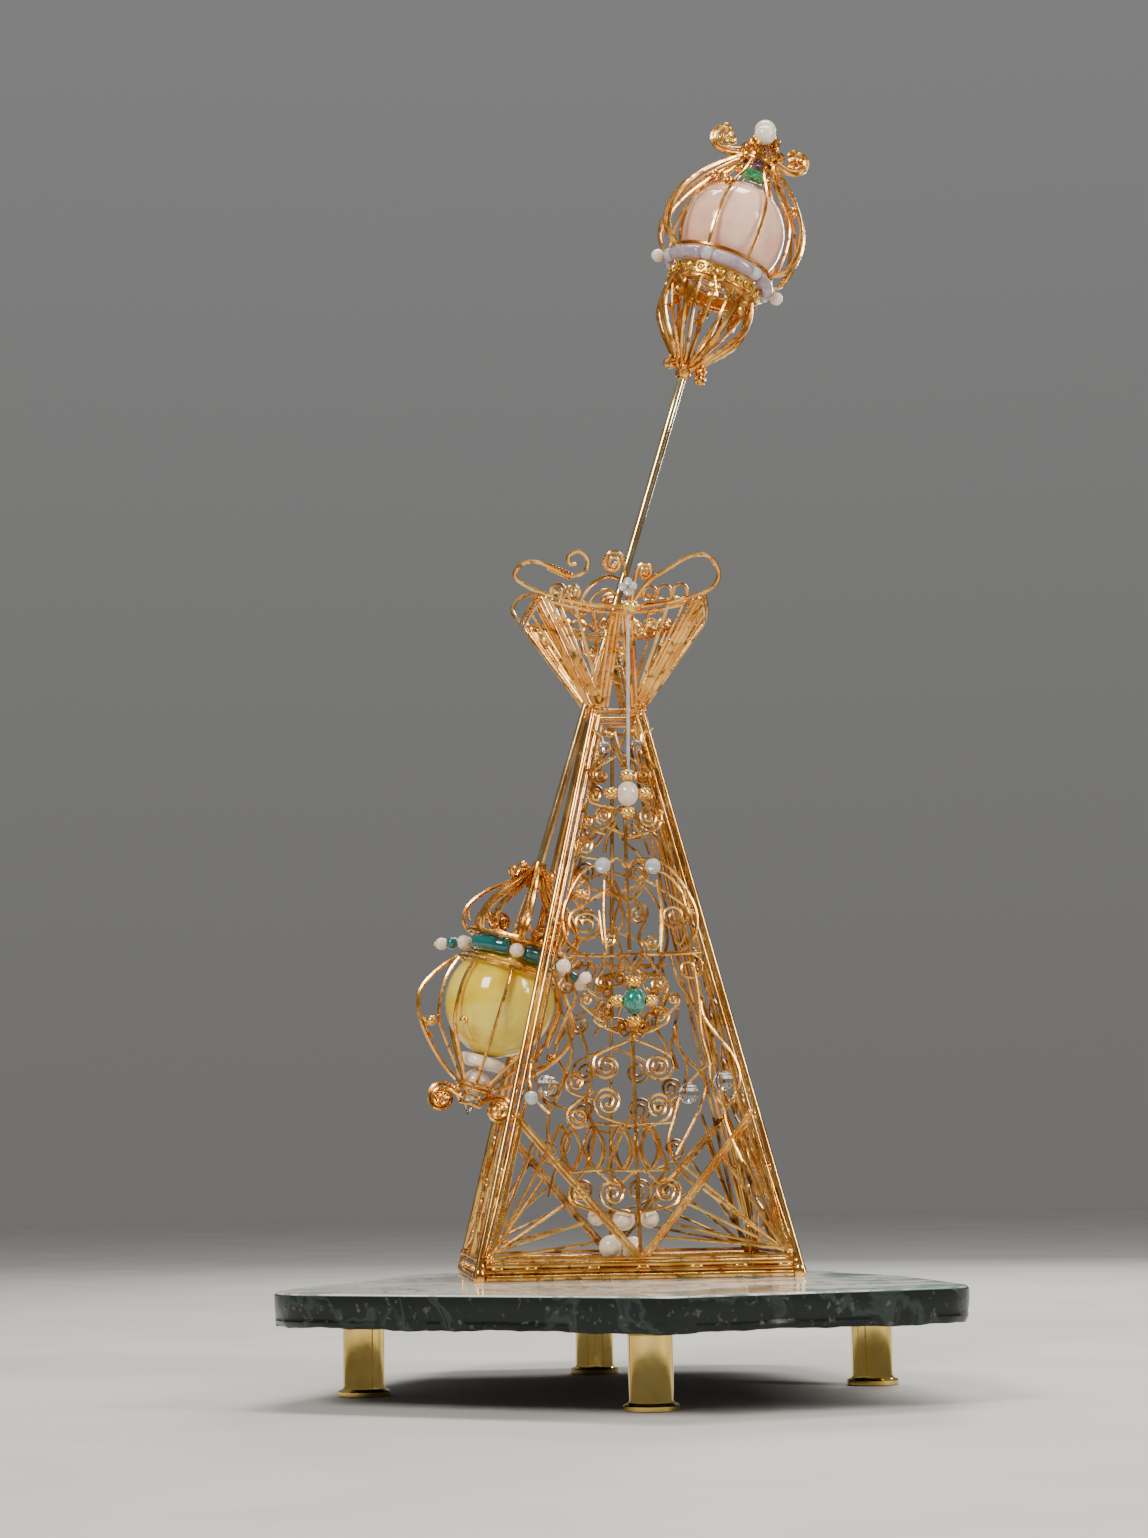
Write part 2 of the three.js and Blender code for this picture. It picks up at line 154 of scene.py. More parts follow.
def scroll(centre: Flat, radius: float, anchor: Flat, hand: int, turns: float = 1.7, inner: float = 0.2) -> list[Flat]:
    """A tail from an anchor that winds in to a scroll's centre.

    Args:
        centre: The scroll's middle, in the plane that it lies in.
        radius: Its outer radius.
        anchor: Where its tail is soldered on.
        hand: 1 to wind anticlockwise, -1 clockwise.
        turns: How many turns it makes.
        inner: The radius of its eye as a share of the outer radius.

    Returns:
        Points in the same plane.
    """
    start = math.atan2(anchor[1] - centre[1], anchor[0] - centre[0]) + hand * 0.9
    count = round(8 * turns)
    path = [anchor]
    for step in range(count + 1):
        share = step / count
        angle = start + hand * share * turns * TURN
        reach = radius * mix(1, inner, share**0.85)
        path.append((centre[0] + reach * math.cos(angle), centre[1] + reach * math.sin(angle)))
    return path


def almond(centre: Flat, half_width: float, half_height: float) -> list[list[Flat]]:
    """The two sides of an almond-shaped loop."""
    u, height = centre
    return [
        [(u + side * half_width * (1 - share * share), height + share * half_height) for share in (-1, -0.5, 0, 0.5, 1)]
        for side in (-1, 1)
    ]


@dataclass
class Run:
    """One length of wire.

    Attributes:
        points: The middle of the wire, in millimetres.
        radius: Its radius.
        closed: Whether it is a ring.
        ends: The radius of its two ends as a share of the rest.
    """

    points: list[Vector]
    radius: float = 0.8
    closed: bool = False
    ends: float = 1.0

    def radii(self) -> list[float]:
        """The radius at each point, uneven by a few hundredths as drawn wire is by hand."""
        last = len(self.points) - 1
        sizes = []
        for step in range(last + 1):
            hand = 1 + 0.05 * math.sin(2.3 * step + 7 * self.radius)
            end = self.ends if step in (0, last) and not self.closed else 1.0
            sizes.append(self.radius * hand * end)
        return sizes


# ---------------------------------------------------------------- workbench
def deselect() -> None:
    """Nothing stays selected, so that an operator meets only its own piece."""
    if bpy.context.object is not None and bpy.context.object.mode != "OBJECT":
        bpy.ops.object.mode_set(mode="OBJECT")
    bpy.ops.object.select_all(action="DESELECT")


def pick(piece: bpy.types.Object) -> None:
    """Only this piece is selected and active."""
    deselect()
    piece.select_set(True)
    bpy.context.view_layer.objects.active = piece


def named(name: str) -> bpy.types.Object:
    """The active object, under its name."""
    piece = bpy.context.object
    piece.name = name
    piece.data.name = name
    return piece


def settle(piece: bpy.types.Object, smooth_angle: float = 40.0) -> bpy.types.Object:
    """The piece's place goes into its mesh, and its gentle edges are shaded smooth."""
    pick(piece)
    bpy.ops.object.transform_apply(location=True, rotation=True, scale=True)
    bpy.ops.object.shade_smooth_by_angle(angle=math.radians(smooth_angle))
    return piece


def wirework(name: str, runs: Iterable[Run], sides: int = 6) -> bpy.types.Object:
    """Bent wires soldered into one piece.

    Args:
        name: The piece's name.
        runs: The wires.
        sides: How many sides a wire's section has: 4, 6 or 8.

    Returns:
        A mesh object.
    """
    deselect()
    bpy.ops.curve.primitive_bezier_curve_add(location=(0, 0, 0))
    piece = named(name)
    curve = piece.data
    curve.splines.clear()
    curve.dimensions = "3D"
    curve.bevel_depth = MM
    curve.bevel_resolution = (sides - 4) // 2
    curve.use_fill_caps = True
    curve.twist_mode = "MINIMUM"
    for run in runs:
        spline = curve.splines.new("POLY")
        spline.points.add(len(run.points) - 1)
        for knot, place, radius in zip(spline.points, run.points, run.radii()):
            knot.co = (*(place * MM), 1)
            knot.radius = radius
        spline.use_cyclic_u = run.closed
    bpy.ops.object.convert(target="MESH")
    piece = bpy.context.object
    return settle(piece, 50)


def turned(name: str, profile: Sequence[Flat], sides: int = 48, seat: Matrix | None = None) -> bpy.types.Object:
    """A piece turned on a lathe.

    Args:
        name: The piece's name.
        profile: (radius, height) pairs from one end of the section to the other.
        sides: How many steps the turning has.
        seat: Where the piece stands, in millimetres; upright at the origin if not given.

    Returns:
        A closed mesh object.
    """
    deselect()
    radius, height = profile[0]
    bpy.ops.mesh.primitive_plane_add(size=MM, location=(radius * MM, 0, height * MM))
    piece = named(name)
    bpy.ops.object.transform_apply(location=True)
    bpy.ops.object.mode_set(mode="EDIT")
    bpy.ops.mesh.select_all(action="SELECT")
    bpy.ops.mesh.merge(type="CENTER")
    for (from_r, from_z), (to_r, to_z) in zip(profile, profile[1:]):
        step = ((to_r - from_r) * MM, 0, (to_z - from_z) * MM)
        bpy.ops.mesh.extrude_vertices_move(TRANSFORM_OT_translate={"value": step})
    bpy.ops.mesh.select_all(action="SELECT")
    bpy.ops.mesh.spin(steps=sides, angle=TURN, center=(0, 0, 0), axis=(0, 0, 1))
    bpy.ops.mesh.select_all(action="SELECT")
    bpy.ops.mesh.remove_doubles(threshold=0.01 * MM)
    bpy.ops.mesh.normals_make_consistent(inside=False)
    bpy.ops.object.mode_set(mode="OBJECT")
    if seat is not None:
        piece.matrix_world = scaled(seat)
    return settle(piece, 35)


def scaled(seat: Matrix) -> Matrix:
    """A seat given in millimetres, in metres."""
    placed = seat.copy()
    placed.translation = seat.translation * MM
    return placed


def softened(piece: bpy.types.Object, width: float, segments: int = 2) -> bpy.types.Object:
    """The piece's hard edges are rounded by a bevel of that width in millimetres."""
    pick(piece)
    bpy.ops.object.modifier_add(type="BEVEL")
    bevel = piece.modifiers[-1]
    bevel.width = width * MM
    bevel.segments = segments
    bevel.limit_method = "ANGLE"
    bevel.angle_limit = math.radians(35)
    bpy.ops.object.modifier_apply(modifier=bevel.name)
    return piece


def model_bead(cut: Cut) -> bpy.types.Object:
    """One bead of 1 mm radius at the origin, to be copied."""
    deselect()
    if cut is Cut.ROUND:
        bpy.ops.mesh.primitive_uv_sphere_add(segments=24, ring_count=14, radius=MM)
    elif cut is Cut.GRAIN:
        bpy.ops.mesh.primitive_uv_sphere_add(segments=8, ring_count=5, radius=MM)
    else:
        bpy.ops.mesh.primitive_uv_sphere_add(segments=9, ring_count=7, radius=MM)
    piece = bpy.context.object
    bpy.ops.object.mode_set(mode="EDIT")
    bpy.ops.mesh.select_all(action="SELECT")
    bpy.ops.transform.resize(value=(1, 1, 0.96))
    bpy.ops.object.mode_set(mode="OBJECT")
    if cut is Cut.FACETED:
        bpy.ops.object.shade_flat()
    else:
        bpy.ops.object.shade_smooth()
    return piece


def beads(name: str, places: Sequence[tuple[Vector, float]], cut: Cut = Cut.ROUND,
          stretch: Colour = (1, 1, 1), seat: Matrix | None = None) -> bpy.types.Object:
    """A bead modelled once and set at each place.

    Args:
        name: The piece's name.
        places: The middle and radius of each bead, in millimetres.
        cut: How the beads are shaped.
        stretch: The bead's size along its three axes as shares of its radius.
        seat: The turn that the beads are given; upright if not given.

    Returns:
        One mesh object.
    """
    pattern = model_bead(cut)
    turn = seat.to_3x3().to_4x4() if seat is not None else Matrix.Identity(4)
    copies = []
    for place, radius in places:
        copy = pattern.copy()
        copy.data = pattern.data.copy()
        size = Matrix.Diagonal((*(radius * share for share in stretch), 1))
        copy.data.transform(Matrix.Translation(place * MM) @ turn @ size)
        bpy.context.collection.objects.link(copy)
        copies.append(copy)
    bpy.data.objects.remove(pattern)
    return joined(name, copies)


def joined(name: str, pieces: Sequence[bpy.types.Object]) -> bpy.types.Object:
    """Several meshes as one piece."""
    deselect()
    for piece in pieces:
        piece.select_set(True)
    bpy.context.view_layer.objects.active = pieces[0]
    if len(pieces) > 1:
        bpy.ops.object.join()
    return named(name)


def keep(piece: bpy.types.Object, material: bpy.types.Material, slot: Slot, *nodes: str) -> bpy.types.Object:
    """A finished piece is dressed and tied to the frame.

    Args:
        piece: The finished mesh object.
        material: Its finish.
        slot: The record's slot that the finish belongs to; not used.
        *nodes: The nodes that it stands for.

    Returns:
        The piece.
    """
    piece.data.materials.clear()
    piece.data.materials.append(material)
    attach(piece, BODY)
    if nodes:
        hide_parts(*nodes)
    log.info("%s: %d faces for %s", piece.name, len(piece.data.polygons), ", ".join(nodes) or "no node")
    return piece


# ---------------------------------------------------------------- shader groups
class Tree:
    """A node tree with short calls to add and link nodes."""

    def __init__(self, nodes: bpy.types.NodeTree) -> None:
        """Keeps the tree and empties it."""
        self.tree = nodes
        self.tree.nodes.clear()

    def add(self, kind: str, **values: object) -> bpy.types.Node:
        """A new node of a kind, with its own properties or its input sockets' values set by name.

        Args:
            kind: The node's type without the ShaderNode prefix.
            **values: Properties in lower case; inputs by their socket's name with _ for a space.

        Returns:
            The node.
        """
        node = self.tree.nodes.new("ShaderNode" + kind)
        for key, value in values.items():
            if hasattr(node, key):
                setattr(node, key, value)
            else:
                node.inputs[key.replace("_", " ")].default_value = value
        return node

    def link(self, source: bpy.types.NodeSocket, target: bpy.types.NodeSocket) -> None:
        """One socket feeds another."""
        self.tree.links.new(source, target)

    def noise(self, place: bpy.types.NodeSocket, scale: float, detail: float = 3.0,
              distortion: float = 0.0) -> bpy.types.NodeSocket:
        """The value of a noise over the given coordinates."""
        node = self.add("TexNoise", Scale=scale, Detail=detail, Distortion=distortion)
        self.link(place, node.inputs["Vector"])
        return node.outputs["Fac"]

    def spread(self, value: bpy.types.NodeSocket, low: float, high: float, to_low: float = 0.0,
               to_high: float = 1.0) -> bpy.types.NodeSocket:
        """A value's range from low to high, smoothly, as another range."""
        node = self.add("MapRange", interpolation_type="SMOOTHSTEP")
        self.link(value, node.inputs["Value"])
        for key, number in (("From Min", low), ("From Max", high), ("To Min", to_low), ("To Max", to_high)):
            node.inputs[key].default_value = number
        return node.outputs["Result"]

    def blend(self, share: bpy.types.NodeSocket, start: object, end: object) -> bpy.types.NodeSocket:
        """A colour between two others, each a socket or three numbers."""
        node = self.add("Mix", data_type="RGBA")
        self.link(share, node.inputs["Factor"])
        for socket, colour in ((node.inputs[6], start), (node.inputs[7], end)):
            if isinstance(colour, bpy.types.NodeSocket):
                self.link(colour, socket)
            else:
                socket.default_value = (*colour, 1)
        return node.outputs[2]

    def times(self, first: bpy.types.NodeSocket, second: object, operation: str = "MULTIPLY") -> bpy.types.NodeSocket:
        """The product, or another operation, of a value and a second value or number."""
        node = self.add("Math", operation=operation)
        self.link(first, node.inputs[0])
        if isinstance(second, bpy.types.NodeSocket):
            self.link(second, node.inputs[1])
        else:
            node.inputs[1].default_value = second
        return node.outputs[0]


def shader_group(name: str, inputs: dict[str, float | Colour], outputs: dict[str, str]) -> tuple[Tree, object, object]:
    """A new shader node group.

    Args:
        name: The group's name.
        inputs: The default of each input; three numbers make a colour.
        outputs: The kind of each output, Float or Color.

    Returns:
        The tree, its input node and its output node.
    """
    group = bpy.data.node_groups.new(name, "ShaderNodeTree")
    for key, value in inputs.items():
        is_colour = isinstance(value, tuple)
        socket = group.interface.new_socket(
            name=key, in_out="INPUT", socket_type="NodeSocketColor" if is_colour else "NodeSocketFloat")
        socket.default_value = (*value, 1) if is_colour else value
    for key, kind in outputs.items():
        group.interface.new_socket(name=key, in_out="OUTPUT", socket_type="NodeSocket" + kind)
    tree = Tree(group)
    return tree, group.nodes.new("NodeGroupInput"), group.nodes.new("NodeGroupOutput")


def scaled_place(tree: Tree, source: bpy.types.Node) -> bpy.types.NodeSocket:
    """Object coordinates times the group's Scale input."""
    place = tree.add("TexCoord").outputs["Object"]
    node = tree.add("VectorMath", operation="SCALE")
    tree.link(place, node.inputs[0])
    tree.link(source.outputs["Scale"], node.inputs["Scale"])
    return node.outputs[0]


def build_patina() -> bpy.types.NodeTree:
    """Gilt or brass, brighter and deeper in drifting patches by a noise, with darker flux left in patches."""
    tree, source, result = shader_group(
        "patina",
        {"Scale": 1.0, "Bright": (1.0, 0.75, 0.4), "Deep": (0.6, 0.3, 0.1), "Dark": (0.1, 0.04, 0.02),
         "Stain": 0.5, "Smooth": 0.15, "Rough": 0.4},
        {"Color": "Color", "Roughness": "Float", "Height": "Float"})
    place = scaled_place(tree, source)
    drift = tree.noise(place, 90, 3)
    grain = tree.noise(place, 700, 2)
    patch = tree.noise(place, 210, 4, 0.6)
    worn = tree.blend(tree.spread(drift, 0.35, 0.66), source.outputs["Deep"], source.outputs["Bright"])
    stain = tree.times(tree.spread(patch, 0.52, 0.68), source.outputs["Stain"])
    tree.link(tree.blend(stain, worn, source.outputs["Dark"]), result.inputs["Color"])
    rough = tree.times(tree.times(grain, 0.6), tree.times(stain, 0.9), "ADD")
    span = tree.times(source.outputs["Rough"], source.outputs["Smooth"], "SUBTRACT")
    tree.link(tree.times(tree.times(rough, span), source.outputs["Smooth"], "ADD"), result.inputs["Roughness"])
    tree.link(tree.times(tree.times(grain, 0.35), drift, "ADD"), result.inputs["Height"])
    return tree.tree


def build_cloud() -> bpy.types.NodeTree:
    """Milky clouds and thin healed fractures inside a polished gem."""
    tree, source, result = shader_group(
        "cloud", {"Scale": 1.0, "Crack": 0.3}, {"Cloud": "Float", "Fracture": "Float", "Height": "Float"})
    place = scaled_place(tree, source)
    cloud = tree.spread(tree.noise(place, 34, 4, 0.8), 0.36, 0.66)
    sheet = tree.times(tree.times(tree.noise(place, 26, 3, 1.6), 0.5, "SUBTRACT"), 1.0, "ABSOLUTE")
    fracture = tree.times(tree.spread(sheet, 0.0, 0.02, 1.0, 0.0), source.outputs["Crack"])
    tree.link(cloud, result.inputs["Cloud"])
    tree.link(fracture, result.inputs["Fracture"])
    tree.link(tree.noise(place, 240, 2), result.inputs["Height"])
    return tree.tree


def build_veins() -> bpy.types.NodeTree:
    """Warped veins and mottling of a polished marble."""
    tree, source, result = shader_group("veins", {"Scale": 1.0}, {"Mottle": "Float", "Vein": "Float", "Fleck": "Float"})
    place = scaled_place(tree, source)
    warp = tree.add("TexNoise", Scale=9.0, Detail=4.0)
    tree.link(place, warp.inputs["Vector"])
    push = tree.add("VectorMath", operation="SCALE")
    tree.link(warp.outputs["Color"], push.inputs[0])
    push.inputs["Scale"].default_value = 0.09
    moved = tree.add("VectorMath", operation="ADD")
    tree.link(place, moved.inputs[0])
    tree.link(push.outputs[0], moved.inputs[1])
    mottle = tree.spread(tree.noise(moved.outputs[0], 16, 6, 1.2), 0.38, 0.62)
    sheet = tree.times(tree.times(tree.noise(moved.outputs[0], 22, 5, 0.6), 0.5, "SUBTRACT"), 1.0, "ABSOLUTE")
    tree.link(mottle, result.inputs["Mottle"])
    tree.link(tree.spread(sheet, 0.0, 0.028, 1.0, 0.0), result.inputs["Vein"])
    tree.link(tree.spread(tree.noise(place, 260, 3), 0.6, 0.72), result.inputs["Fleck"])
    return tree.tree


def new_material(name: str) -> tuple[bpy.types.Material, Tree, bpy.types.Node]:
    """A node material with its shader linked to its output."""
    material = bpy.data.materials.new(name)
    material.use_nodes = True
    tree = Tree(material.node_tree)
    shader = tree.add("BsdfPrincipled")
    tree.link(shader.outputs[0], tree.add("OutputMaterial").inputs["Surface"])
    return material, tree, shader


def placed_group(tree: Tree, group: bpy.types.NodeTree, **values: object) -> bpy.types.Node:
    """A shader group in a material, with its inputs set by name."""
    node = tree.tree.nodes.new("ShaderNodeGroup")
    node.node_tree = group
    for key, value in values.items():
        node.inputs[key].default_value = (*value, 1) if isinstance(value, tuple) else value
    return node


def raised(tree: Tree, shader: bpy.types.Node, height: bpy.types.NodeSocket, strength: float, depth: float) -> None:
    """A height feeds the shader's normal through a bump of that depth in millimetres."""
    bump = tree.add("Bump", Strength=strength, Distance=depth * MM)
    tree.link(height, bump.inputs["Height"])
    tree.link(bump.outputs["Normal"], shader.inputs["Normal"])


# ---------------------------------------------------------------- finishes
@dataclass(frozen=True)
class Metal:
    """Gilt wire or polished brass."""

    name: str
    bright: Colour
    deep: Colour
    dark: Colour = (0.16, 0.06, 0.015)
    stain: float = 0.5
    smooth: float = 0.12
    rough: float = 0.42
    scale: float = 1.0
    bump: float = 0.25
    depth: float = 0.25

    def build(self, groups: dict[str, bpy.types.NodeTree]) -> bpy.types.Material:
        """The metal's material."""
        material, tree, shader = new_material(self.name)
        patina = placed_group(
            tree, groups["patina"], Scale=self.scale, Bright=self.bright, Deep=self.deep, Dark=self.dark,
            Stain=self.stain, Smooth=self.smooth, Rough=self.rough)
        tree.link(patina.outputs["Color"], shader.inputs["Base Color"])
        tree.link(patina.outputs["Roughness"], shader.inputs["Roughness"])
        shader.inputs["Metallic"].default_value = 1.0
        raised(tree, shader, patina.outputs["Height"], self.bump, self.depth)
        return material


@dataclass(frozen=True)
class Gem:
    """A polished bead or orb, from opaque to clear."""

    name: str
    pale: Colour
    deep: Colour
    line: Colour
    crack: float = 0.3
    scale: float = 1.0
    roughness: float = 0.1
    clear: float = 0.0
    milk: float = 0.0
    milk_depth: float = 6.0
    milk_radius: Colour = (1.0, 0.7, 0.5)
    ior: float = 1.54
    coat: float = 0.4
    coat_roughness: float = 0.03
    bump: float = 0.05

    def build(self, groups: dict[str, bpy.types.NodeTree]) -> bpy.types.Material:
        """The gem's material."""
        material, tree, shader = new_material(self.name)
        cloud = placed_group(tree, groups["cloud"], Scale=self.scale, Crack=self.crack)
        body = tree.blend(cloud.outputs["Cloud"], self.deep, self.pale)
        tree.link(tree.blend(cloud.outputs["Fracture"], body, self.line), shader.inputs["Base Color"])
        values = {
            "Roughness": self.roughness, "Transmission Weight": self.clear, "IOR": self.ior,
            "Subsurface Weight": self.milk, "Subsurface Scale": self.milk_depth * MM,
            "Subsurface Radius": self.milk_radius, "Coat Weight": self.coat, "Coat Roughness": self.coat_roughness,
        }
        for key, value in values.items():
            shader.inputs[key].default_value = value
        raised(tree, shader, cloud.outputs["Height"], self.bump, 0.2)
        return material


@dataclass(frozen=True)
class VeinedSlab:
    """Green-black marble with a polished, pale veined top."""

    name: str
    top: float
    pale: Colour = (0.86, 0.84, 0.72)
    white: Colour = (0.93, 0.94, 0.9)
    teal: Colour = (0.05, 0.2, 0.17)
    side: Colour = (0.004, 0.008, 0.0065)
    side_pale: Colour = (0.03, 0.045, 0.036)

    def build(self, groups: dict[str, bpy.types.NodeTree]) -> bpy.types.Material:
        """The slab's material: the top and the sides by height, the top's green by where it lies."""
        material, tree, shader = new_material(self.name)
        veins = placed_group(tree, groups["veins"], Scale=1.0)
        axes = tree.add("SeparateXYZ")
        tree.link(tree.add("TexCoord").outputs["Object"], axes.inputs[0])
        top = tree.spread(axes.outputs["Z"], (self.top - 0.9) * MM, (self.top - 0.2) * MM)
        toward_right = tree.spread(axes.outputs["X"], -0.07, 0.09, 0.25, 1.0)
        green = tree.times(veins.outputs["Mottle"], toward_right)
        ground = tree.blend(toward_right, self.pale, self.white)
        surface = tree.blend(green, ground, self.teal)
        surface = tree.blend(tree.times(veins.outputs["Vein"], 0.6), surface, self.side_pale)
        edge = tree.blend(tree.times(veins.outputs["Vein"], 0.7), self.side, self.side_pale)
        edge = tree.blend(tree.times(veins.outputs["Fleck"], 0.07), edge, self.pale)
        tree.link(tree.blend(top, edge, surface), shader.inputs["Base Color"])
        tree.link(tree.spread(top, 0.0, 1.0, 0.24, 0.1), shader.inputs["Roughness"])
        shader.inputs["Specular IOR Level"].default_value = 0.3
        raised(tree, shader, veins.outputs["Fleck"], 0.15, 0.2)
        return material


@dataclass(frozen=True)
class StudioPaint:
    """The pale matt ground that the work stands on."""

    name: str = "studio_ground"
    pale: Colour = (0.62, 0.6, 0.57)
    deep: Colour = (0.57, 0.55, 0.52)

    def build(self, groups: dict[str, bpy.types.NodeTree]) -> bpy.types.Material:
        """The ground's material."""
        material, tree, shader = new_material(self.name)
        cloud = placed_group(tree, groups["cloud"], Scale=0.2, Crack=0.0)
        tree.link(tree.blend(cloud.outputs["Cloud"], self.deep, self.pale), shader.inputs["Base Color"])
        shader.inputs["Roughness"].default_value = 0.75
        return material


@dataclass
class Finishes:
    """Every material of the work, built once."""

    slab_top: float
    made: dict[str, bpy.types.Material] = field(default_factory=dict)

    def build(self) -> None:
        """Builds the shared groups and then each material."""
        groups = {"patina": build_patina(), "cloud": build_cloud(), "veins": build_veins()}
        for finish in self.list():
            self.made[finish.name] = finish.build(groups)

    def list(self) -> list[object]:
        """The finishes and their values."""
        return [
            Metal("gilt", (1.0, 0.6, 0.17), (0.74, 0.32, 0.055), dark=(0.07, 0.024, 0.006), stain=0.75),
            Metal("gilt_post", (1.0, 0.62, 0.2), (0.7, 0.33, 0.07), dark=(0.06, 0.02, 0.005), stain=0.5, smooth=0.08,
                  rough=0.26, scale=0.5, bump=0.08),
            # painted shade: a darker, rougher copy of the gilt for the right and back filigree, which lie in the
            # tower's shade
            Metal("gilt_painted_shade", (0.7, 0.38, 0.1), (0.3, 0.12, 0.022), dark=(0.05, 0.016, 0.004), stain=0.8, smooth=0.2, rough=0.5),
            Metal("gilt_beads", (1.0, 0.7, 0.2), (0.9, 0.46, 0.06), stain=0.35, smooth=0.15, scale=1.6,
                  bump=0.6, depth=0.5),
            Metal("rod_gilt", (0.95, 0.76, 0.42), (0.7, 0.48, 0.2), stain=0.15, smooth=0.08, rough=0.2,
                  scale=0.5, bump=0.05),
            Metal("brass", (0.9, 0.68, 0.22), (0.78, 0.52, 0.13), stain=0.12, smooth=0.05, rough=0.16,
                  scale=0.4, bump=0.04),
            Gem("rose_quartz", (0.95, 0.63, 0.47), (0.86, 0.47, 0.34), (0.98, 0.8, 0.66), crack=0.25,
                roughness=0.12, milk=0.55, milk_radius=(1.0, 0.75, 0.65)),
            Gem("calcite", (0.85, 0.7, 0.09), (0.8, 0.54, 0.004), (0.93, 0.86, 0.3), crack=0.15, scale=0.8,
                roughness=0.1, milk=0.5, milk_radius=(1.0, 0.8, 0.2)),
            Gem("malachite", (0.0, 0.13, 0.12), (0.0, 0.075, 0.075), (0.005, 0.2, 0.17), scale=2.5, roughness=0.08,
                coat=0.7),
            Gem("malachite_drop", (0.01, 0.25, 0.18), (0.0, 0.08, 0.06), (0.3, 0.6, 0.45), crack=0.7, scale=5.0,
                roughness=0.1, coat=0.7),
            Gem("green_onyx", (0.04, 0.38, 0.13), (0.005, 0.16, 0.04), (0.4, 0.75, 0.45), crack=0.5, scale=5.0,
                roughness=0.1, coat=0.6, milk=0.2),
            Gem("amethyst", (0.56, 0.45, 0.5), (0.38, 0.28, 0.34), (0.72, 0.65, 0.68), scale=2.0, roughness=0.1,
                milk=0.3, clear=0.2, milk_radius=(0.9, 0.8, 0.9)),
            Gem("deep_amethyst", (0.4, 0.26, 0.36), (0.22, 0.12, 0.22), (0.6, 0.5, 0.6), scale=3.0, roughness=0.06,
                clear=0.45),
            Gem("pearl", (0.93, 0.8, 0.64), (0.84, 0.64, 0.46), (0.96, 0.9, 0.82), crack=0.1, scale=6.0, roughness=0.2,
                milk=0.3, coat=0.6, coat_roughness=0.12),
            Gem("ivory", (0.92, 0.86, 0.68), (0.84, 0.74, 0.54), (0.7, 0.6, 0.42), crack=0.35, scale=3.0,
                roughness=0.24, milk=0.3),
            Gem("moonstone", (0.95, 0.82, 0.68), (0.86, 0.62, 0.48), (1.0, 0.95, 0.9), scale=5.0, roughness=0.08,
                milk=0.5, clear=0.15, coat=0.7),
            Gem("crystal", (0.95, 0.97, 0.97), (0.86, 0.9, 0.9), (1.0, 1.0, 1.0), crack=0.5, scale=4.0, roughness=0.02,
                clear=1.0, coat=0.0, bump=0.02),
            Gem("frosted_crystal", (0.93, 0.96, 0.95), (0.7, 0.78, 0.78), (1.0, 1.0, 1.0), crack=0.7, scale=5.0,
                roughness=0.12, clear=0.55, milk=0.2),
            VeinedSlab("slab_stone", self.slab_top),
            StudioPaint(),
        ]

    def __getitem__(self, name: str) -> bpy.types.Material:
        """The material of that name."""
        return self.made[name]


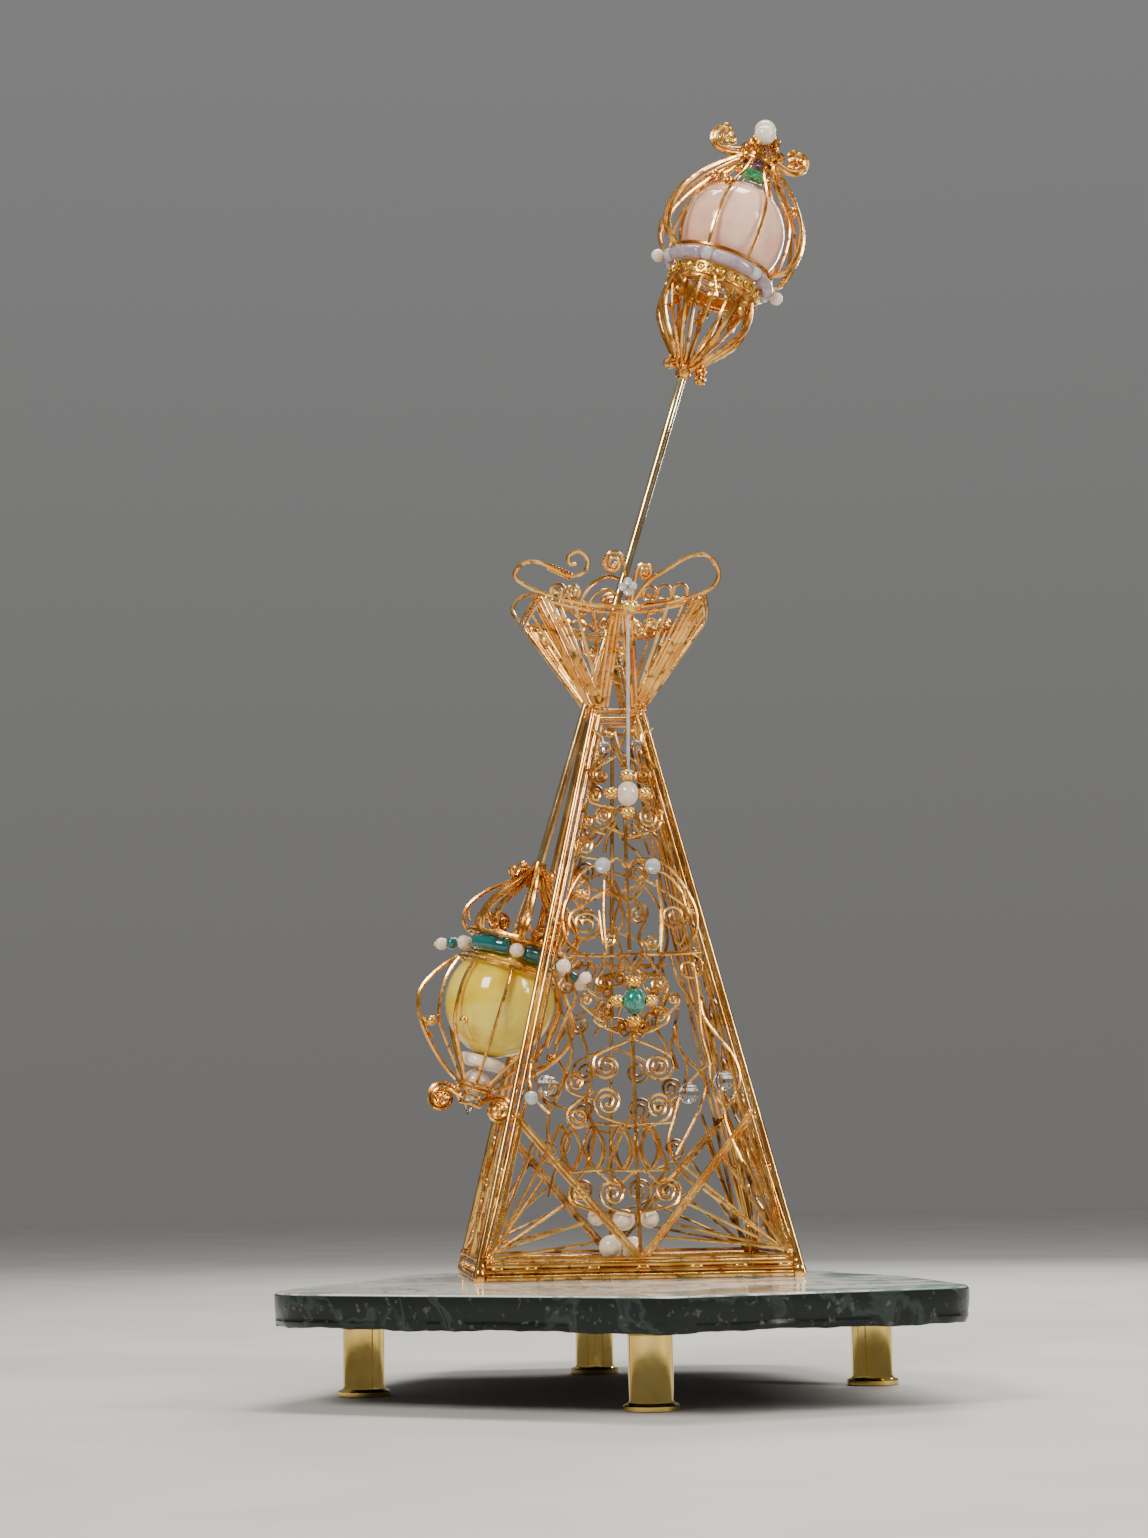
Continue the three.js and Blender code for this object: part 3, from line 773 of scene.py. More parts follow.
# ---------------------------------------------------------------- the slab and its feet
@dataclass
class Slab:
    """The irregular polished slab, with a bevelled upper edge and a cleft lower lip."""

    top: float = 51.6
    thickness: float = 16.0
    bevel: float = 1.2
    spacing: float = 4.0

    def outline(self) -> list[Flat]:
        """The slab's edge, anticlockwise from its sharp front corner, in even steps."""
        corners = [(10.5, -180), (136, -140), ((154.5, -134), (154.5, -104)), (151, 6), (134, 62), (126, 140),
                   ((122, 174), (84, 178)), (40, 180), (-58, 176), ((-84, 172), (-91, 140)), (-106, 88), (-136, 22),
                   ((-154.5, -22), (-154.5, -44)), ((-154.5, -68), (-136, -80)), (10.5, -180)]
        places = [Vector(corners[0])]
        for corner in corners[1:]:
            start = places[-1]
            if isinstance(corner[0], tuple):
                pull, end = Vector(corner[0]), Vector(corner[1])
            else:
                end = Vector(corner)
                pull = (start + end) / 2
            count = max(2, round((end - start).length / self.spacing))
            for step in range(1, count + 1):
                share = step / count
                places.append(start.lerp(pull, share).lerp(pull.lerp(end, share), share))
        return [(place.x, place.y) for place in places[:-1]]

    def build(self) -> bpy.types.Object:
        """The slab's mesh: a filled outline extruded down in layers, then its side roughened."""
        edge = self.outline()
        deselect()
        bpy.ops.mesh.primitive_circle_add(
            vertices=len(edge), radius=MM, fill_type="NGON", location=(0, 0, 0))
        piece = named("slab_stone")
        for vertex, (x, y) in zip(piece.data.vertices, edge):
            vertex.co = (x * MM, y * MM, self.top * MM)
        layers = [(1.2, 0.0), (3.6, 0.0), (6.2, 0.1), (8.8, 0.7), (11.0, 1.8), (12.6, 1.2), (14.2, 3.2), (16.0, 5.6)]
        bpy.ops.object.mode_set(mode="EDIT")
        bpy.ops.mesh.select_all(action="SELECT")
        depth = 0.0
        for level, _ in layers:
            bpy.ops.mesh.extrude_region_move(TRANSFORM_OT_translate={"value": (0, 0, (depth - level) * MM)})
            depth = level
        bpy.ops.object.mode_set(mode="OBJECT")
        self._shape_side(piece, dict(layers))
        bpy.ops.object.mode_set(mode="EDIT")
        bpy.ops.mesh.select_all(action="SELECT")
        bpy.ops.mesh.normals_make_consistent(inside=False)
        bpy.ops.object.mode_set(mode="OBJECT")
        return settle(piece, 32)

    def _shape_side(self, piece: bpy.types.Object, wear: dict[float, float]) -> None:
        """Draws the upper edge in by its bevel and the lower layers in by an uneven cleft."""
        for vertex in piece.data.vertices:
            level = round(self.top - vertex.co.z / MM, 2)
            place = Vector((vertex.co.x, vertex.co.y))
            swing = math.atan2(place.y, place.x)
            uneven = 0.5 + 0.25 * math.sin(9 * swing) + 0.15 * math.sin(31 * swing + 1) + 0.1 * math.sin(83 * swing)
            if level < 0.1:
                inward = self.bevel
            else:
                cleft = next((size for height, size in wear.items() if abs(height - level) < 0.05), 0.0)
                inward = cleft * uneven
                if level >= self.thickness - 0.1:
                    vertex.co.z += 1.3 * uneven * MM
            vertex.co.x -= inward * MM * place.normalized().x
            vertex.co.y -= inward * MM * place.normalized().y


@dataclass
class Feet:
    """Four turned tube feet with a flange below."""

    tube: float = 10.0
    flange: float = 12.5
    flange_height: float = 3.0
    sides: tuple[str, ...] = ("front", "back", "left", "right")

    def build(self) -> list[bpy.types.Object]:
        """One foot modelled and a copy of it under each side of the slab."""
        height = top_of("foot_front")
        profile = [
            (0, 0), (self.flange - 0.8, 0), (self.flange, 0.5), (self.flange, self.flange_height - 0.7),
            (self.flange - 0.7, self.flange_height), (self.tube + 0.9, self.flange_height + 0.1),
            (self.tube + 0.2, self.flange_height + 0.7), (self.tube, self.flange_height + 1.8),
            (self.tube, height - 2.6), (self.tube + 0.25, height - 2.3), (self.tube + 0.25, height - 0.4),
            (self.tube, height), (0, height)]
        pattern = turned("foot", profile, 64)
        feet = []
        for side in self.sides:
            foot = pattern.copy()
            foot.data = pattern.data.copy()
            foot.name = foot.data.name = f"foot_tube_{side}"
            place = middle(f"foot_{side}")
            foot.data.transform(Matrix.Translation((place.x * MM, place.y * MM, 0)))
            bpy.context.collection.objects.link(foot)
            feet.append(foot)
        bpy.data.objects.remove(pattern)
        return feet


# ---------------------------------------------------------------- the tower
@dataclass(frozen=True)
class Face:
    """One face of the tower: the way along it and the way out of it."""

    name: str
    along: Flat
    out: Flat


FACES = {
    "front": Face("front", (1, 0), (0, -1)),
    "right": Face("right", (0, 1), (1, 0)),
    "back": Face("back", (-1, 0), (0, 1)),
    "left": Face("left", (0, -1), (-1, 0)),
}


@dataclass
class TowerPlan:
    """The pyramid below the waist and the crown above it, as half widths at heights."""

    floor: float
    waist: float
    axis: Flat
    rim: float = 402.0
    base_half: Flat = (81, 70)
    waist_half: Flat = (12.8, 13.2)
    rim_half: Flat = (44.4, 44.4)
    rail_height: float = 9.2
    panel_inset: float = 6.5
    panel_head: float = 334.0

    @classmethod
    def from_frame(cls) -> "TowerPlan":
        """The plan with its place read from the slab and the waist."""
        ring = middle("waist_ring")
        return cls(floor=top_of("stone_slab"), waist=ring.z, axis=(ring.x, ring.y))

    @property
    def panel_foot(self) -> float:
        """The height at which the filigree starts, above the rails."""
        return self.floor + self.rail_height + 1.5

    def half(self, height: float) -> Flat:
        """Half widths along X and Y at a height."""
        if height > self.waist:
            share = (height - self.waist) / (self.rim - self.waist)
            low, high = self.waist_half, self.rim_half
        else:
            share = (height - self.floor) / (self.waist - self.floor)
            low, high = self.base_half, self.waist_half
        return mix(low[0], high[0], share), mix(low[1], high[1], share)

    def at(self, face: Face, u: float, height: float, proud: float = 0.0) -> Vector:
        """A point on a face: u along it from its middle, its height, and how far it stands out."""
        half_x, half_y = self.half(height)
        reach = abs(face.out[0]) * half_x + abs(face.out[1]) * half_y + proud
        return Vector((self.axis[0] + face.along[0] * u + face.out[0] * reach,
                       self.axis[1] + face.along[1] * u + face.out[1] * reach, height))

    def width(self, face: Face, height: float) -> float:
        """Half the width of a face at a height."""
        half_x, half_y = self.half(height)
        return abs(face.along[0]) * half_x + abs(face.along[1]) * half_y

    def reach(self, face: Face, height: float) -> float:
        """Half the width of a face's panel at a height."""
        return self.width(face, height) - self.panel_inset

    def corner(self, side: Flat, height: float, inward: Flat = (0, 0)) -> Vector:
        """A point on a corner line, moved inward along X and Y."""
        half_x, half_y = self.half(height)
        return Vector((self.axis[0] + side[0] * (half_x - inward[0]),
                       self.axis[1] + side[1] * (half_y - inward[1]), height))


@dataclass
class Panel:
    """Draws wires on one face of the tower."""

    plan: TowerPlan
    face: Face
    thin: float = 0.8
    runs: list[Run] = field(default_factory=list)
    grains: list[tuple[Vector, float]] = field(default_factory=list)

    def place(self, point: Flat, proud: float = 0.0) -> Vector:
        """A flat point on this face."""
        return self.plan.at(self.face, point[0], point[1], proud)

    def line(self, start: Flat, end: Flat, radius: float | None = None, proud: float = 0.0) -> None:
        """A straight wire, drawn in three spans so that its thickness can vary."""
        first, last = self.place(start, proud), self.place(end, proud)
        points = [first.lerp(last, share) for share in (0, 0.3, 0.65, 1)]
        self.runs.append(Run(points, radius or self.thin))

    def curve(self, points: Sequence[Flat], radius: float | None = None, proud: float = 0.0,
              per_span: int = 5, ends: float = 0.8) -> None:
        """A bent wire through flat points."""
        places = [self.place(point, proud) for point in points]
        self.runs.append(Run(bend(places, per_span), radius or self.thin, ends=ends))

    def coil(self, centre: Flat, radius: float, anchor: Flat, hand: int, turns: float = 1.7,
             wire: float | None = None, proud: float = 0.0) -> None:
        """A scroll with a grain of solder in its eye."""
        path = scroll(centre, radius, anchor, hand, turns)
        self.curve(path, wire, proud, 3)
        self.grains.append((self.place(path[-1], proud), (wire or self.thin) * 1.25))

    def ring(self, centre: Flat, radius: float, wire: float | None = None, proud: float = 0.0) -> None:
        """A closed round loop."""
        count = 8
        places = [self.place((centre[0] + radius * math.cos(TURN * step / count),
                              centre[1] + radius * math.sin(TURN * step / count)), proud) for step in range(count)]
        self.runs.append(Run(bend(places, 3, closed=True), wire or self.thin, closed=True))

    def leaf(self, centre: Flat, half_width: float, half_height: float, wire: float | None = None) -> None:
        """An almond-shaped loop."""
        for side in almond(centre, half_width, half_height):
            self.curve(side, wire, per_span=3)

    def solder(self, point: Flat, radius: float, proud: float = 0.0) -> None:
        """A grain of solder."""
        self.grains.append((self.place(point, proud), radius))

    def frame(self, top: float | None = None) -> None:
        """The wires along the panel's foot, sides and head."""
        top = top or self.plan.panel_head
        foot = self.plan.panel_foot
        for side in (-1, 1):
            self.line((0, foot), (side * self.plan.reach(self.face, foot), foot), 0.9)
            self.line((side * self.plan.reach(self.face, foot), foot), (side * self.plan.reach(self.face, top), top), 0.9)
        if top == self.plan.panel_head:
            reach = self.plan.reach(self.face, top)
            self.line((-reach, top), (reach, top))

    def brace(self, height: float, side: int, radius: float = 1.25) -> None:
        """One doubled arm of the V that stands on the middle of the base."""
        foot, end = (0.8, self.plan.panel_foot), (side * (self.plan.reach(self.face, height) + 3), height)
        self.line(foot, end, radius, 0.4)
        self.line((foot[0] + side * 3.2, foot[1] + 0.4), (end[0], end[1] - 3.4), radius * 0.72, 0.2)
        self.solder(end, 1.9)

    def fan(self, side: int, ends: Sequence[Flat], radius: float = 0.85) -> None:
        """Straight wires out of a base corner."""
        foot = (side * (self.plan.reach(self.face, self.plan.panel_foot) + 2), self.plan.panel_foot + 0.6)
        for step, end in enumerate(ends):
            start = (foot[0] - side * 0.9 * (step % 3), foot[1] + 0.9 * (step % 4))
            self.line(start, (side * end[0], end[1]), radius, 0.5 * (step % 2))
        self.solder(foot, 2.6)

    def build(self, name: str) -> bpy.types.Object:
        """All wires and grains as one mesh."""
        wires = wirework(name, self.runs)
        if not self.grains:
            return wires
        return joined(name, [wires, beads(name + "_solder", self.grains, Cut.GRAIN)])


@dataclass
class FrontFiligree:
    """The scrolls, leaves and braces of the tower's front face."""

    plan: TowerPlan
    spine: float = 1.3
    # middle, radius, anchor, hand and turns of each scroll
    scrolls: tuple = (
        ((11.2, 307), 5.0, (2.5, 319), -1, 1.8), ((-10.4, 307), 4.6, (-2, 318), 1, 1.8),
        ((-13.4, 296.5), 4.4, (-4, 290), -1, 1.6), ((13.6, 296), 3.6, (17, 303), 1, 1.5),
        ((14.2, 285), 7.5, (2.4, 274), 1, 2.1), ((-9.3, 286), 4.8, (0, 276), -1, 1.8),
        ((-17.6, 283), 3.8, (-9, 276), -1, 1.5), ((-19.8, 270), 6.2, (-5, 262), -1, 1.9),
        ((-4.5, 330), 3.0, (0, 322), 1, 1.4), ((6.5, 331), 3.0, (1, 323), -1, 1.4),
        ((-20.8, 229), 9.5, (-5, 250), 1, 2.2), ((24.7, 233), 8.4, (8, 254), -1, 1.9),
        ((12.6, 219.5), 4.8, (18, 236), -1, 1.5), ((-9, 221), 4.2, (-14, 236), 1, 1.4),
        ((31.4, 206), 8.4, (13, 213), -1, 1.35), ((-31.5, 196.5), 4.6, (-24, 211), 1, 1.5),
        ((15.4, 182), 5.2, (8, 173), 1, 1.7), ((-14, 182), 5.2, (-6, 173), -1, 1.7),
        ((14.4, 197.5), 4.4, (6, 204), -1, 1.6), ((-12.6, 198), 4.4, (-5, 204), 1, 1.6),
        ((22.4, 190), 3.6, (17, 180), 1, 1.4), ((-21.6, 190), 3.8, (-16, 180), -1, 1.4),
        ((13.3, 156), 8.3, (1.4, 170), -1, 2.2), ((-12.8, 156.5), 7.6, (0.6, 170), 1, 2.1),
        ((12.4, 136), 7.6, (1.2, 124), 1, 2.1), ((-12.8, 138.5), 8.3, (0.4, 126), -1, 2.1),
        ((-27.8, 131), 6.4, (-20, 144), 1, 1.9), ((-28.8, 148.7), 6.0, (-20, 140), -1, 1.8),
        ((14.7, 94.5), 7.8, (1.2, 84), 1, 2.1), ((-11.8, 93.5), 7.6, (0.4, 83), -1, 2.0),
        ((-28.8, 93.8), 6.2, (-18, 84), -1, 1.8), ((-3, 177), 2.8, (3, 171), 1, 1.2), ((6.4, 175.6), 2.8, (1, 170), -1, 1.2),
    )
    # bent wires through flat points
    bends: tuple = (
        ((-3, 283), (-8, 274), (-10, 266)), ((5, 283), (11, 273), (13.5, 265)),
        ((-2, 290), (-7, 281), (-17, 276), (-25, 262)), ((6, 290), (10, 279), (17, 275), (21, 262)),
        ((7, 263), (19, 261.5), (30, 249), (36.4, 233), (33.6, 220), (26, 213.6)),
        ((10, 258), (21, 255), (28.5, 246), (30.6, 238)),
        ((-6, 262), (-19, 258), (-28, 246), (-32.4, 231), (-30, 219), (-25, 213.4)),
        ((-5.6, 252), (-2.6, 242), (-6.6, 230), (-3, 213)), ((8.2, 252), (4.4, 243), (9.6, 232), (6, 222), (8.4, 213.6)),
        ((-10.3, 252), (-11.3, 232), (-10.4, 213)), ((16.4, 252), (18.6, 232), (17, 214)),
        ((1.2, 258), (-4, 263.6), (-9.4, 257), (-6, 246), (1, 240)), ((1.6, 258), (7, 263), (10.6, 256), (8, 246), (1.6, 240)),
        ((-30, 213), (-12, 212.4), (4, 213.2), (22, 213), (38, 214)),
        ((-22, 213), (-17, 205), (-21, 196), (-14, 190)), ((-14, 213), (-8, 203), (-16, 194)),
        ((-6, 213), (1, 203), (8, 213)), ((9, 213), (15, 204), (20, 196), (17, 189)), ((22, 213), (25, 200), (31, 190), (36, 176)),
        ((-26, 213), (-31, 204), (-27, 192), (-33, 180), (-38, 168)),
        ((22, 176), (25, 163), (33, 154), (36.5, 146), (33.5, 136), (27, 124), (20, 112)),
        ((41, 158), (32, 151), (23.6, 141), (20.4, 131), (16.6, 118), (20, 107), (29, 96)),
        ((36, 189.4), (36.8, 182), (43, 172), (51.6, 160), (54, 149), (50.6, 140), (45.4, 133), (47.4, 122), (53, 108)),
        ((33.4, 206), (35, 190), (35.6, 172), (38.6, 158), (38.8, 149), (41.6, 140), (45.4, 133)),
        ((-33, 178), (-30, 164), (-34, 152), (-38, 141), (-42.6, 133), (-43.4, 118)),
        ((-51, 158), (-52, 149), (-48.6, 140), (-42.6, 133)),
        ((-26, 176), (-22.6, 164), (-21, 150), (-24, 138), (-20.4, 124), (-24, 108), (-31, 99)),
        ((-36.6, 128), (-33, 118), (-40, 106), (-44, 92)),
        ((24, 176), (20, 166), (23, 154)), ((-1.6, 132), (-8, 120), (-14, 106), (-6, 96)), ((3, 132), (10, 120), (15, 106), (7, 96)),
        ((-20, 104.8), (-10, 98), (2, 105), (12, 98), (21, 105)), ((-33, 104), (-20, 105), (0, 104.4), (18, 105)),
        ((-20, 128), (-8, 127), (6, 127.6), (20, 128)),
        ((-16, 334), (-9, 328), (-11, 318), (-16, 310)), ((18, 333), (12, 329), (14, 318), (18, 311)),
        ((-21, 320), (-15, 300), (-21, 288)), ((-34, 224), (-38, 206), (-35, 186), (-42, 166)),
    )
    leaves: tuple = (
        ((-32.3, 116), 4.6, 11.6), ((-20.8, 116), 4.6, 11.6), ((-7.3, 116), 4.6, 11.6), ((7.6, 116), 4.6, 11.6),
        ((-22.8, 246.5), 4.6, 9.5), ((-4.6, 234), 3.2, 9), ((-1.8, 205), 3.0, 7), ((26.8, 224), 3.0, 7),
    )
    fan_right: tuple = ((33, 95), (25, 88), (19, 78), (13, 72), (23, 107), (43.6, 111), (54.4, 122), (60, 124), (45.6, 134))
    fan_left: tuple = ((49.7, 121), (46.6, 101), (37, 88), (27, 79.5), (22.3, 69.7), (36.6, 128), (53, 112), (57, 128))

    def build(self) -> bpy.types.Object:
        """The front filigree."""
        panel = Panel(self.plan, FACES["front"])
        foot = self.plan.panel_foot
        panel.frame()
        panel.line((self.spine, 291), (self.spine - 0.4, 215), 0.9, 0.6)
        panel.line((self.spine - 0.6, 176), (0.2, foot), 1.0, 0.4)
        for centre, radius, anchor, hand, turns in self.scrolls:
            panel.coil(centre, radius, anchor, hand, turns)
        for number, points in enumerate(self.bends):
            panel.curve(points, proud=0.5 * (number % 3))
        for centre, half_width, half_height in self.leaves:
            panel.leaf(centre, half_width, half_height)
        for side, ends in ((1, self.fan_right), (-1, self.fan_left)):
            panel.brace(132.6, side)
            panel.fan(side, ends)
        self._rosette(panel)
        for u in range(-24, 25, 6):
            panel.solder((u, 213), 1.0)
        return panel.build("tower_filigree_front")

    def _rosette(self, panel: Panel) -> None:
        """The scalloped wires around the green drop."""
        centre = (0.6, 188.6)
        for radius, count, lift in ((15.4, 12, 2.6), (10.6, 9, 1.8)):
            path = []
            for step in range(count * 2):
                angle = TURN * step / (count * 2)
                reach = radius + (lift if step % 2 else -0.4)
                path.append((centre[0] + reach * math.cos(angle), centre[1] + reach * math.sin(angle)))
            places = [panel.place(point, 0.8) for point in path]
            panel.runs.append(Run(bend(places, 3, closed=True), 0.75, closed=True))
        for step in range(8):
            angle = TURN * (step + 0.5) / 8
            spot = (centre[0] + 13 * math.cos(angle), centre[1] + 13 * math.sin(angle))
            panel.ring(spot, 2.2, 0.7, 1.4)
            panel.solder(spot, 1.1, 1.4)


@dataclass
class PlainPanel:
    """The filigree of a side or back face: paired scrolls up a spine, leaves, fans and a V brace."""

    plan: TowerPlan
    side: str
    rows: tuple = (
        (15, 94, 7.6, 82, 1), (15, 137, 7.4, 124, 1), (14, 157, 7.4, 170, -1), (17, 182, 6.0, 194, -1),
        (18, 215, 9.6, 232, -1), (14, 240, 6.0, 252, -1), (14, 262, 6.6, 250, 1), (12, 284, 6.0, 296, -1),
        (8.4, 304, 4.4, 294, 1), (6.6, 320, 3.4, 328, -1), (32, 148, 6.4, 136, 1), (34, 116, 6.2, 104, 1),
    )
    fan_ends: tuple = ((34, 96), (25, 86), (17, 76), (43, 110), (52, 120), (49, 134))

    def build(self) -> bpy.types.Object:
        """The panel's filigree."""
        panel = Panel(self.plan, FACES[self.side])
        foot = self.plan.panel_foot
        panel.frame()
        panel.line((0, self.plan.panel_head), (0, foot), 0.9)
        for side in (-1, 1):
            for u, height, radius, anchor, hand in self.rows:
                inner = 0.0 if u < 25 else side * (u - 12)
                panel.coil((side * u, height), radius, (inner, anchor), side * hand, 1.8)
            for u in (7.6, 20.6):
                panel.leaf((side * u, 115.5), 4.6, 11)
            for points in self._bends():
                panel.curve([(side * u, height) for u, height in points])
            panel.brace(131.0, side)
            panel.fan(side, [end for end in self.fan_ends if end[0] < self.plan.reach(panel.face, end[1]) - 1])
        panel.line((-24, 104.6), (24, 104.6))
        panel.line((-30, 213), (30, 213))
        return panel.build(f"tower_filigree_{self.side}")

    def _bends(self) -> tuple:
        """Bent wires of one half of the panel."""
        return (
            ((0, 262), (14, 258), (24, 246), (30, 228), (27, 213)), ((27, 213), (30, 196), (24, 182), (30, 168), (24, 156)),
            ((36, 190), (34, 176), (41, 160), (38, 146), (32, 136)), ((0, 290), (7, 278), (16, 270), (18, 258)),
            ((4, 213), (9, 200), (4, 188), (9, 176)), ((0, 330), (6, 318), (10, 306), (9, 296)),
        )


@dataclass
class LeftBrace:
    """The two low halves of the left face, which stays open above for the pommel."""

    plan: TowerPlan
    top: float = 150.0
    fan_ends: tuple = ((33, 95), (25, 84), (16, 73), (40, 108))

    def build(self, side: int) -> bpy.types.Object:
        """One half: 1 is the front one, -1 the back one."""
        panel = Panel(self.plan, FACES["left"])
        foot, face = self.plan.panel_foot, FACES["left"]
        reach = self.plan.reach
        panel.line((side * 1.5, foot), (side * reach(face, foot), foot), 0.9)
        panel.line((side * reach(face, foot), foot), (side * reach(face, self.top), self.top), 0.9)
        panel.line((side * 1.5, foot), (side * reach(face, 132), 132), 1.2)
        panel.line((side * 4.6, foot + 0.4), (side * reach(face, 128.6), 128.6), 0.85)
        panel.fan(side, self.fan_ends)
        panel.coil((side * 17, 96), 6.6, (side * 9, 84), side, 1.8)
        panel.coil((side * 31, 118), 5.6, (side * 40, 108), side, 1.7)
        return panel.build("tower_brace_" + ("front" if side > 0 else "back"))


@dataclass
class Posts:
    """The four corner posts: parallel wires gathered in solder at the foot."""

    plan: TowerPlan
    corners: dict[str, Flat] = field(default_factory=lambda: {
        "front_left": (-1, -1), "front_right": (1, -1), "back_left": (-1, 1), "back_right": (1, 1)})
    wires: tuple = (((0, 0), 1.6), ((3.5, 0.4), 1.05), ((0.4, 3.5), 1.05))

    def build(self, name: str) -> bpy.types.Object:
        """One post."""
        side = self.corners[name]
        foot, head = self.plan.floor + 1.6, self.plan.waist - 2
        shares = (0, 0.02, 0.06, 0.12, 0.2, 0.35, 0.5, 0.65, 0.8, 0.92, 1)
        runs = []
        for inward, radius in self.wires:
            points = [self.plan.corner(side, mix(foot, head, share), tuple(
                part * min(1.0, 0.35 + share * 4) for part in inward)) for share in shares]
            runs.append(Run(points, radius))
        for spread, length in (((5.0, 1.5), 52), ((1.5, 5.0), 46), ((8.5, 2.4), 30), ((2.4, 8.5), 26), ((12, 4), 15)):
            start = self.plan.corner(side, foot + length, (0.9, 0.9))
            end = self.plan.corner(side, foot + 0.8, (spread[0] * 0.45, spread[1] * 0.45))
            runs.append(Run([start, start.lerp(end, 0.4), start.lerp(end, 0.75), end], 1.2, ends=0.6))
        piece = wirework(f"tower_post_{name}", runs, 8)
        lumps = [(self.plan.corner(side, foot + 1.2, (1.6, 1.6)), 3.4), (self.plan.corner(side, foot + 5, (1.4, 1.4)), 2.6),
                 (self.plan.corner(side, foot + 20, (1.2, 1.2)), 1.9), (self.plan.corner(side, head - 1, (0.8, 0.8)), 2.1)]
        bindings = [(self.plan.corner(side, height, (0.9, 0.9)), 1.9) for height in (foot + 52, foot + 78)]
        return joined(f"tower_post_{name}", [piece, beads("lumps", lumps + bindings, Cut.ROUND, (1, 1, 1.5))])


@dataclass
class Rails:
    """The base rails: stacked bars with a hammered strip between them."""

    plan: TowerPlan

    def build(self, side: str) -> bpy.types.Object:
        """The rail of one face."""
        face = FACES[side]
        foot = self.plan.floor + 0.4
        reach = self.plan.width(face, self.plan.floor) - 5.6
        bars = ((foot + 1.5, 1.5, 0.0), (foot + 4.4, 1.45, -1.1), (foot + 7.4, 1.6, -0.2), (foot + 6.0, 1.1, -3.0),
                (foot + 2.8, 1.2, -2.8))
        runs = []
        for height, radius, proud in bars:
            points = []
            for step in range(13):
                share = -1 + step / 6
                wave = 0.22 * math.sin(7 * share + height)
                points.append(self.plan.at(face, share * reach, height + wave * 0.5, proud + wave - 0.4))
            runs.append(Run(points, radius))
        piece = wirework(f"tower_rail_{side}", runs, 8)
        spots = [(self.plan.at(face, u * reach, foot + 5.9, -0.6), 1.5) for u in (-0.93, -0.71, -0.3, 0.02, 0.37, 0.66, 0.95)]
        return joined(f"tower_rail_{side}", [piece, beads("rail_solder", spots, Cut.ROUND, (2.2, 1.0, 0.8))])


@dataclass
class Waist:
    """The ring of wire that ties the posts at the waist, bound at its corners."""

    plan: TowerPlan
    wire: float = 0.9

    def build(self) -> bpy.types.Object:
        """The waist ring."""
        runs = []
        for face in FACES.values():
            reach = self.plan.width(face, self.plan.waist) + 0.4
            for drop in (0.0, -1.9):
                height = self.plan.waist + drop
                ends = [self.plan.at(face, side * reach, height, 0.2) for side in (-1, 1)]
                runs.append(Run([ends[0], ends[0].lerp(ends[1], 0.5), ends[1]], self.wire * (1 if drop == 0 else 0.75)))
        piece = wirework("tower_waist", runs, 8)
        corners = [(self.plan.corner((x, y), self.plan.waist - 0.6), 1.9) for x in (-1, 1) for y in (-1, 1)]
        return joined("tower_waist", [piece, beads("knots", corners, Cut.ROUND, (1, 1, 0.9))])


